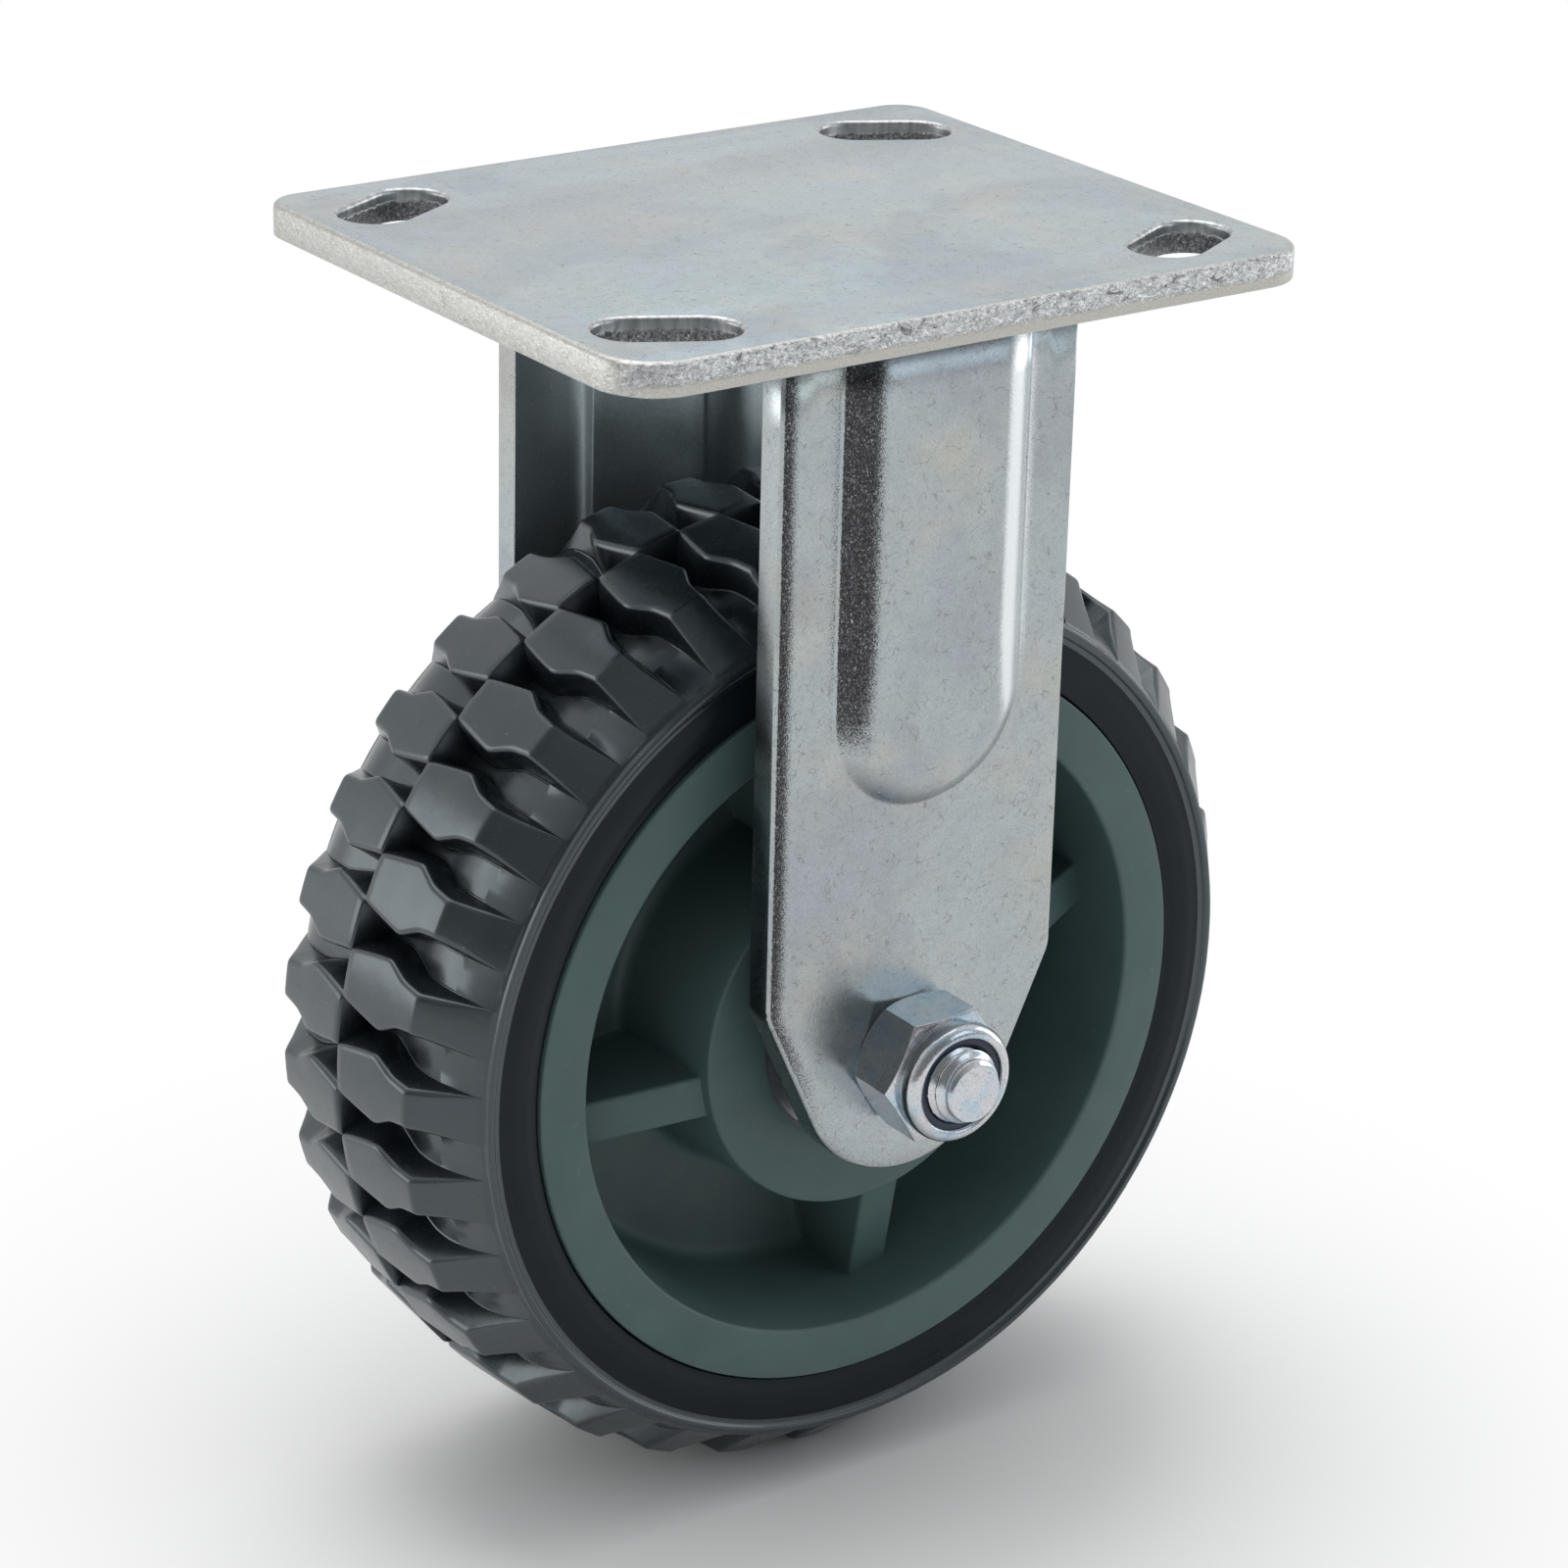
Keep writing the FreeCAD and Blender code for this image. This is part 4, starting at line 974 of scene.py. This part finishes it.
SIDE_PATH = [
    (25.55, 67.6), (25.85, 67.2, 0.25), (26.75, 67.2, 0.5), (26.75, 66.0, 0.5),
    (26.15, 65.7, 0.3), (26.1, 64.9), (26.45, 62.5, 6.0), (26.2, 60.2, 2.0),
    (25.85, 58.9, 0.6), (25.8, 58.35, 0.3), (25.2, 58.0), (12.0, 57.98)]
RIDGE_ROWS = 13


def smooth_value(stops, reach, at):
    """A value read off straight runs between stops, with its corners eased over a reach."""
    places, values = zip(*stops)
    return float(np.interp(at + np.linspace(-reach, reach, 9), places, values).mean())


def groove_columns(offset):
    """Angle from the groove's middle and radius of each column, from lug to groove."""
    surface, floor, gap_half, foot_half = (smooth_value(*curve, offset) for curve in TREAD_CURVES)
    gap = gap_half / surface

    def on_surface(angle):
        return np.array((surface * math.sin(angle), surface * math.cos(angle)))

    corner = on_surface(gap)
    foot = np.array((foot_half, floor + 0.02))
    wall = foot - corner
    length = float(np.linalg.norm(wall))
    top_round = min(TOP_ROUND, 0.4 * length)
    top = on_surface(gap + top_round / surface)
    down = corner + wall * top_round / length
    line = [on_surface(HALF_PITCH)]
    line += [curve_point(top, corner, down, share) for share in (0.0, 0.25, 0.5, 0.75, 1.0)]
    line.append(foot)
    bead = BEAD_HEIGHT * min(1.0, (surface - floor) / 3.0)
    line += [(foot_half - inside, floor + bead * share) for inside, share in BEAD_POINTS]
    line += [(foot_half * 0.2, floor), (0.0, floor)]
    drop = END_ROUND.get(offset, 0.0)
    columns = []
    for x, z in line:
        radius = math.hypot(x, z)
        lowered = drop * max(0.0, min(1.0, (radius - floor - 1.0) / 4.0))
        columns.append((math.atan2(x, z), radius - lowered))
    return columns


def pitch_columns(offset):
    """One lug pitch: angles from the lug's middle across a whole pitch, and radii."""
    line = groove_columns(offset)
    first = [(HALF_PITCH - angle, radius) for angle, radius in line]
    return first + [(2 * HALF_PITCH - angle, radius) for angle, radius in first[-2:0:-1]]


def half_pitch_later(line):
    """The same columns for the other row of lugs, which stands half a pitch on."""
    middle = len(line) // 2
    first = [(angle - HALF_PITCH, radius) for angle, radius in line[middle:]]
    return first + [(angle + HALF_PITCH, radius) for angle, radius in line[:middle]]


def tread_ring(along, line):
    """One turn of the tyre: the columns of a pitch, repeated for each lug."""
    start = math.radians(TREAD_TURN) - HALF_PITCH
    return [on_axle(along, radius, start + angle + 2 * HALF_PITCH * lug)
            for lug in range(LUGS) for angle, radius in line]


def build_tyre():
    """The tread's two rows of lugs and both sides as one closed skin."""
    edge = TREAD_ROWS[-1]
    rows = []
    for offset in TREAD_ROWS:
        shift = TREAD_SHIFT * min(1.0, (edge - offset) / SHIFT_FADE)
        rows.append((offset, shift, pitch_columns(offset)))
    for along, radius in rounded_path(SIDE_PATH, steps=2, closed=False):
        rows.append((along, 0.0, [(angle, radius) for angle, _ in pitch_columns(edge)]))
    points = []
    for along, shift, line in rows:
        points.extend(tread_ring(shift - along, line))
    for along, shift, line in reversed(rows):
        points.extend(tread_ring(shift + along, half_pitch_later(line)))
    around = len(points) // (2 * len(rows))
    faces = grid_faces(2 * len(rows), around, wrap_rows=True)
    first_side = len(TREAD_ROWS) + RIDGE_ROWS
    slots = []
    for row in range(2 * len(rows)):
        on_side = first_side <= row < 2 * len(rows) - first_side
        slots.extend([1 if on_side else 0] * around)
    add_piece("tyre_tread", points, faces, "wheel", [rubber, shaded_sidewall], ["tyre"],
              smooth=42.0, face_slots=slots)


# The welds and the hidden pieces keep their shape from the frame

def dress_kept_nodes():
    finishes = dict.fromkeys(("race", "shield", "balls", "cage", "spacer", "sleeve"), turned_steel)
    finishes["weld"] = weld
    for name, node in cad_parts.items():
        for word, material in finishes.items():
            if word in name:
                node.data.materials.clear()
                node.data.materials.append(material)


# Stage, lights and camera

FLOOR_LEVEL = -195.0
FLOOR_REACH = 8000.0
FRONT = (-0.36, -0.93, 0.0)  # The room is darker this way
LAMP_AIM = (0, 0, -90)
CAMERA_YAW = 35.53
CAMERA_PITCH = 22.12
CAMERA_ROLL = -1.45
CAMERA_OFFSET = (0.04, -81.91, 690.85)
CAMERA_LENS = 108.87


def seen_directly(tree):
    """One for rays from the camera and through gloss or glass, zero for the rest."""
    paths = tree.nodes.new("ShaderNodeLightPath")
    seen = math_node(tree, "MAXIMUM", paths.outputs["Is Camera Ray"], paths.outputs["Is Glossy Ray"])
    return math_node(tree, "MAXIMUM", seen, paths.outputs["Is Transmission Ray"])


def build_stage():
    """A pale floor that takes the object's shadow and turns white away from it."""
    mesh = bpy.data.meshes.new("floor")
    corners = [Vector((x * FLOOR_REACH, y * FLOOR_REACH, FLOOR_LEVEL)) * MM
               for x, y in ((-1, -1), (1, -1), (1, 1), (-1, 1))]
    mesh.from_pydata(corners, [], [(0, 1, 2, 3)])
    floor = bpy.data.objects.new("floor", mesh)
    bpy.context.scene.collection.objects.link(floor)
    material, tree = new_material("floor_white")
    shader = tree.nodes["Principled BSDF"]
    shader.inputs["Base Color"].default_value = (0.9, 0.9, 0.9, 1.0)
    shader.inputs["Roughness"].default_value = 0.9
    shader.inputs["Specular IOR Level"].default_value = 0.0
    place = tree.nodes.new("ShaderNodeTexCoord")
    length = tree.nodes.new("ShaderNodeVectorMath")
    length.operation = "LENGTH"
    flat = tree.nodes.new("ShaderNodeVectorMath")
    flat.operation = "MULTIPLY"
    flat.inputs[1].default_value = (1.0, 1.0, 0.0)
    tree.links.new(place.outputs["Object"], flat.inputs[0])
    tree.links.new(flat.outputs["Vector"], length.inputs[0])
    away = ramp(tree, length.outputs["Value"], [(0.06, 0.0), (0.16, 1.0)])
    factor = product(tree, away, seen_directly(tree))
    white = tree.nodes.new("ShaderNodeEmission")
    white.inputs["Color"].default_value = (1.0, 1.0, 1.0, 1.0)
    joined = tree.nodes.new("ShaderNodeMixShader")
    tree.links.new(factor, joined.inputs[0])
    tree.links.new(shader.outputs[0], joined.inputs[1])
    tree.links.new(white.outputs[0], joined.inputs[2])
    tree.links.new(joined.outputs[0], tree.nodes["Material Output"].inputs["Surface"])
    mesh.materials.append(material)


def soft_box(name, place, size, level, colour=(1.0, 1.0, 1.0)):
    """A soft lamp towards the middle of the castor. Level is how bright its face is."""
    data = bpy.data.lights.new(name, "AREA")
    data.shape = "RECTANGLE"
    data.size = size[0] * MM
    data.size_y = size[1] * MM
    data.energy = level * math.pi * data.size * data.size_y
    data.color = colour
    light = bpy.data.objects.new(name, data)
    light.location = Vector(place) * MM
    direction = Vector(LAMP_AIM) * MM - light.location
    light.rotation_euler = direction.to_track_quat("-Z", "Y").to_euler()
    light.visible_camera = False
    bpy.context.scene.collection.objects.link(light)


def build_lights():
    """Soft boxes at the back left, above, at the right and in front, in a room darker in front."""
    soft_box("left_box", (-820, 560, 10), (560, 560), 1.9)
    soft_box("top_box", (60, 260, 850), (900, 900), 1.6)
    soft_box("right_box", (850, -180, 60), (360, 620), 1.7)
    soft_box("window_box", (350, -560, 190), (300, 300), 1.1, (0.80, 0.92, 1.0))
    world = bpy.data.worlds.new("studio")
    bpy.context.scene.world = world
    world.use_nodes = True
    tree = world.node_tree
    place = tree.nodes.new("ShaderNodeTexCoord")
    along = tree.nodes.new("ShaderNodeVectorMath")
    along.operation = "DOT_PRODUCT"
    along.inputs[1].default_value = FRONT
    tree.links.new(place.outputs["Generated"], along.inputs[0])
    share = math_node(tree, "MULTIPLY_ADD", along.outputs["Value"], 0.5, 0.5)
    level = ramp(tree, share, [(0.45, 0.88), (0.88, 0.25)])
    tree.links.new(level, tree.nodes["Background"].inputs["Color"])


def build_camera():
    """The camera that was fitted to the photo: its turn, tilt and lean, and where it stands."""
    yaw, pitch, roll = (math.radians(turn) for turn in (CAMERA_YAW, CAMERA_PITCH, CAMERA_ROLL))
    forward = np.array((math.sin(yaw) * math.cos(pitch), math.cos(yaw) * math.cos(pitch), -math.sin(pitch)))
    right = np.array((math.cos(yaw), -math.sin(yaw), 0.0))
    down = np.cross(forward, right)
    leaned_right = math.cos(roll) * right + math.sin(roll) * down
    leaned_down = -math.sin(roll) * right + math.cos(roll) * down
    axes = np.array((leaned_right, leaned_down, forward))
    place = -np.array(CAMERA_OFFSET) @ axes
    data = bpy.data.cameras.new("camera")
    data.sensor_width = 36.0
    data.lens = CAMERA_LENS
    data.clip_start = 0.05
    data.clip_end = 20.0
    camera = bpy.data.objects.new("camera", data)
    turned = Matrix((leaned_right, -leaned_down, -forward)).transposed()
    camera.matrix_world = Matrix.Translation(Vector(place) * MM) @ turned.to_4x4()
    bpy.context.scene.collection.objects.link(camera)
    bpy.context.scene.camera = camera


build_top_plate()
build_leg("near_leg_sheet", -1, "nut_side_leg")
build_leg("far_leg_sheet", 1, "head_side_leg")
build_lock_nut()
build_axle_bolt()
build_wheel_core()
build_tyre()
dress_kept_nodes()
build_stage()
build_lights()
build_camera()
bpy.context.scene.view_settings.view_transform = "Standard"
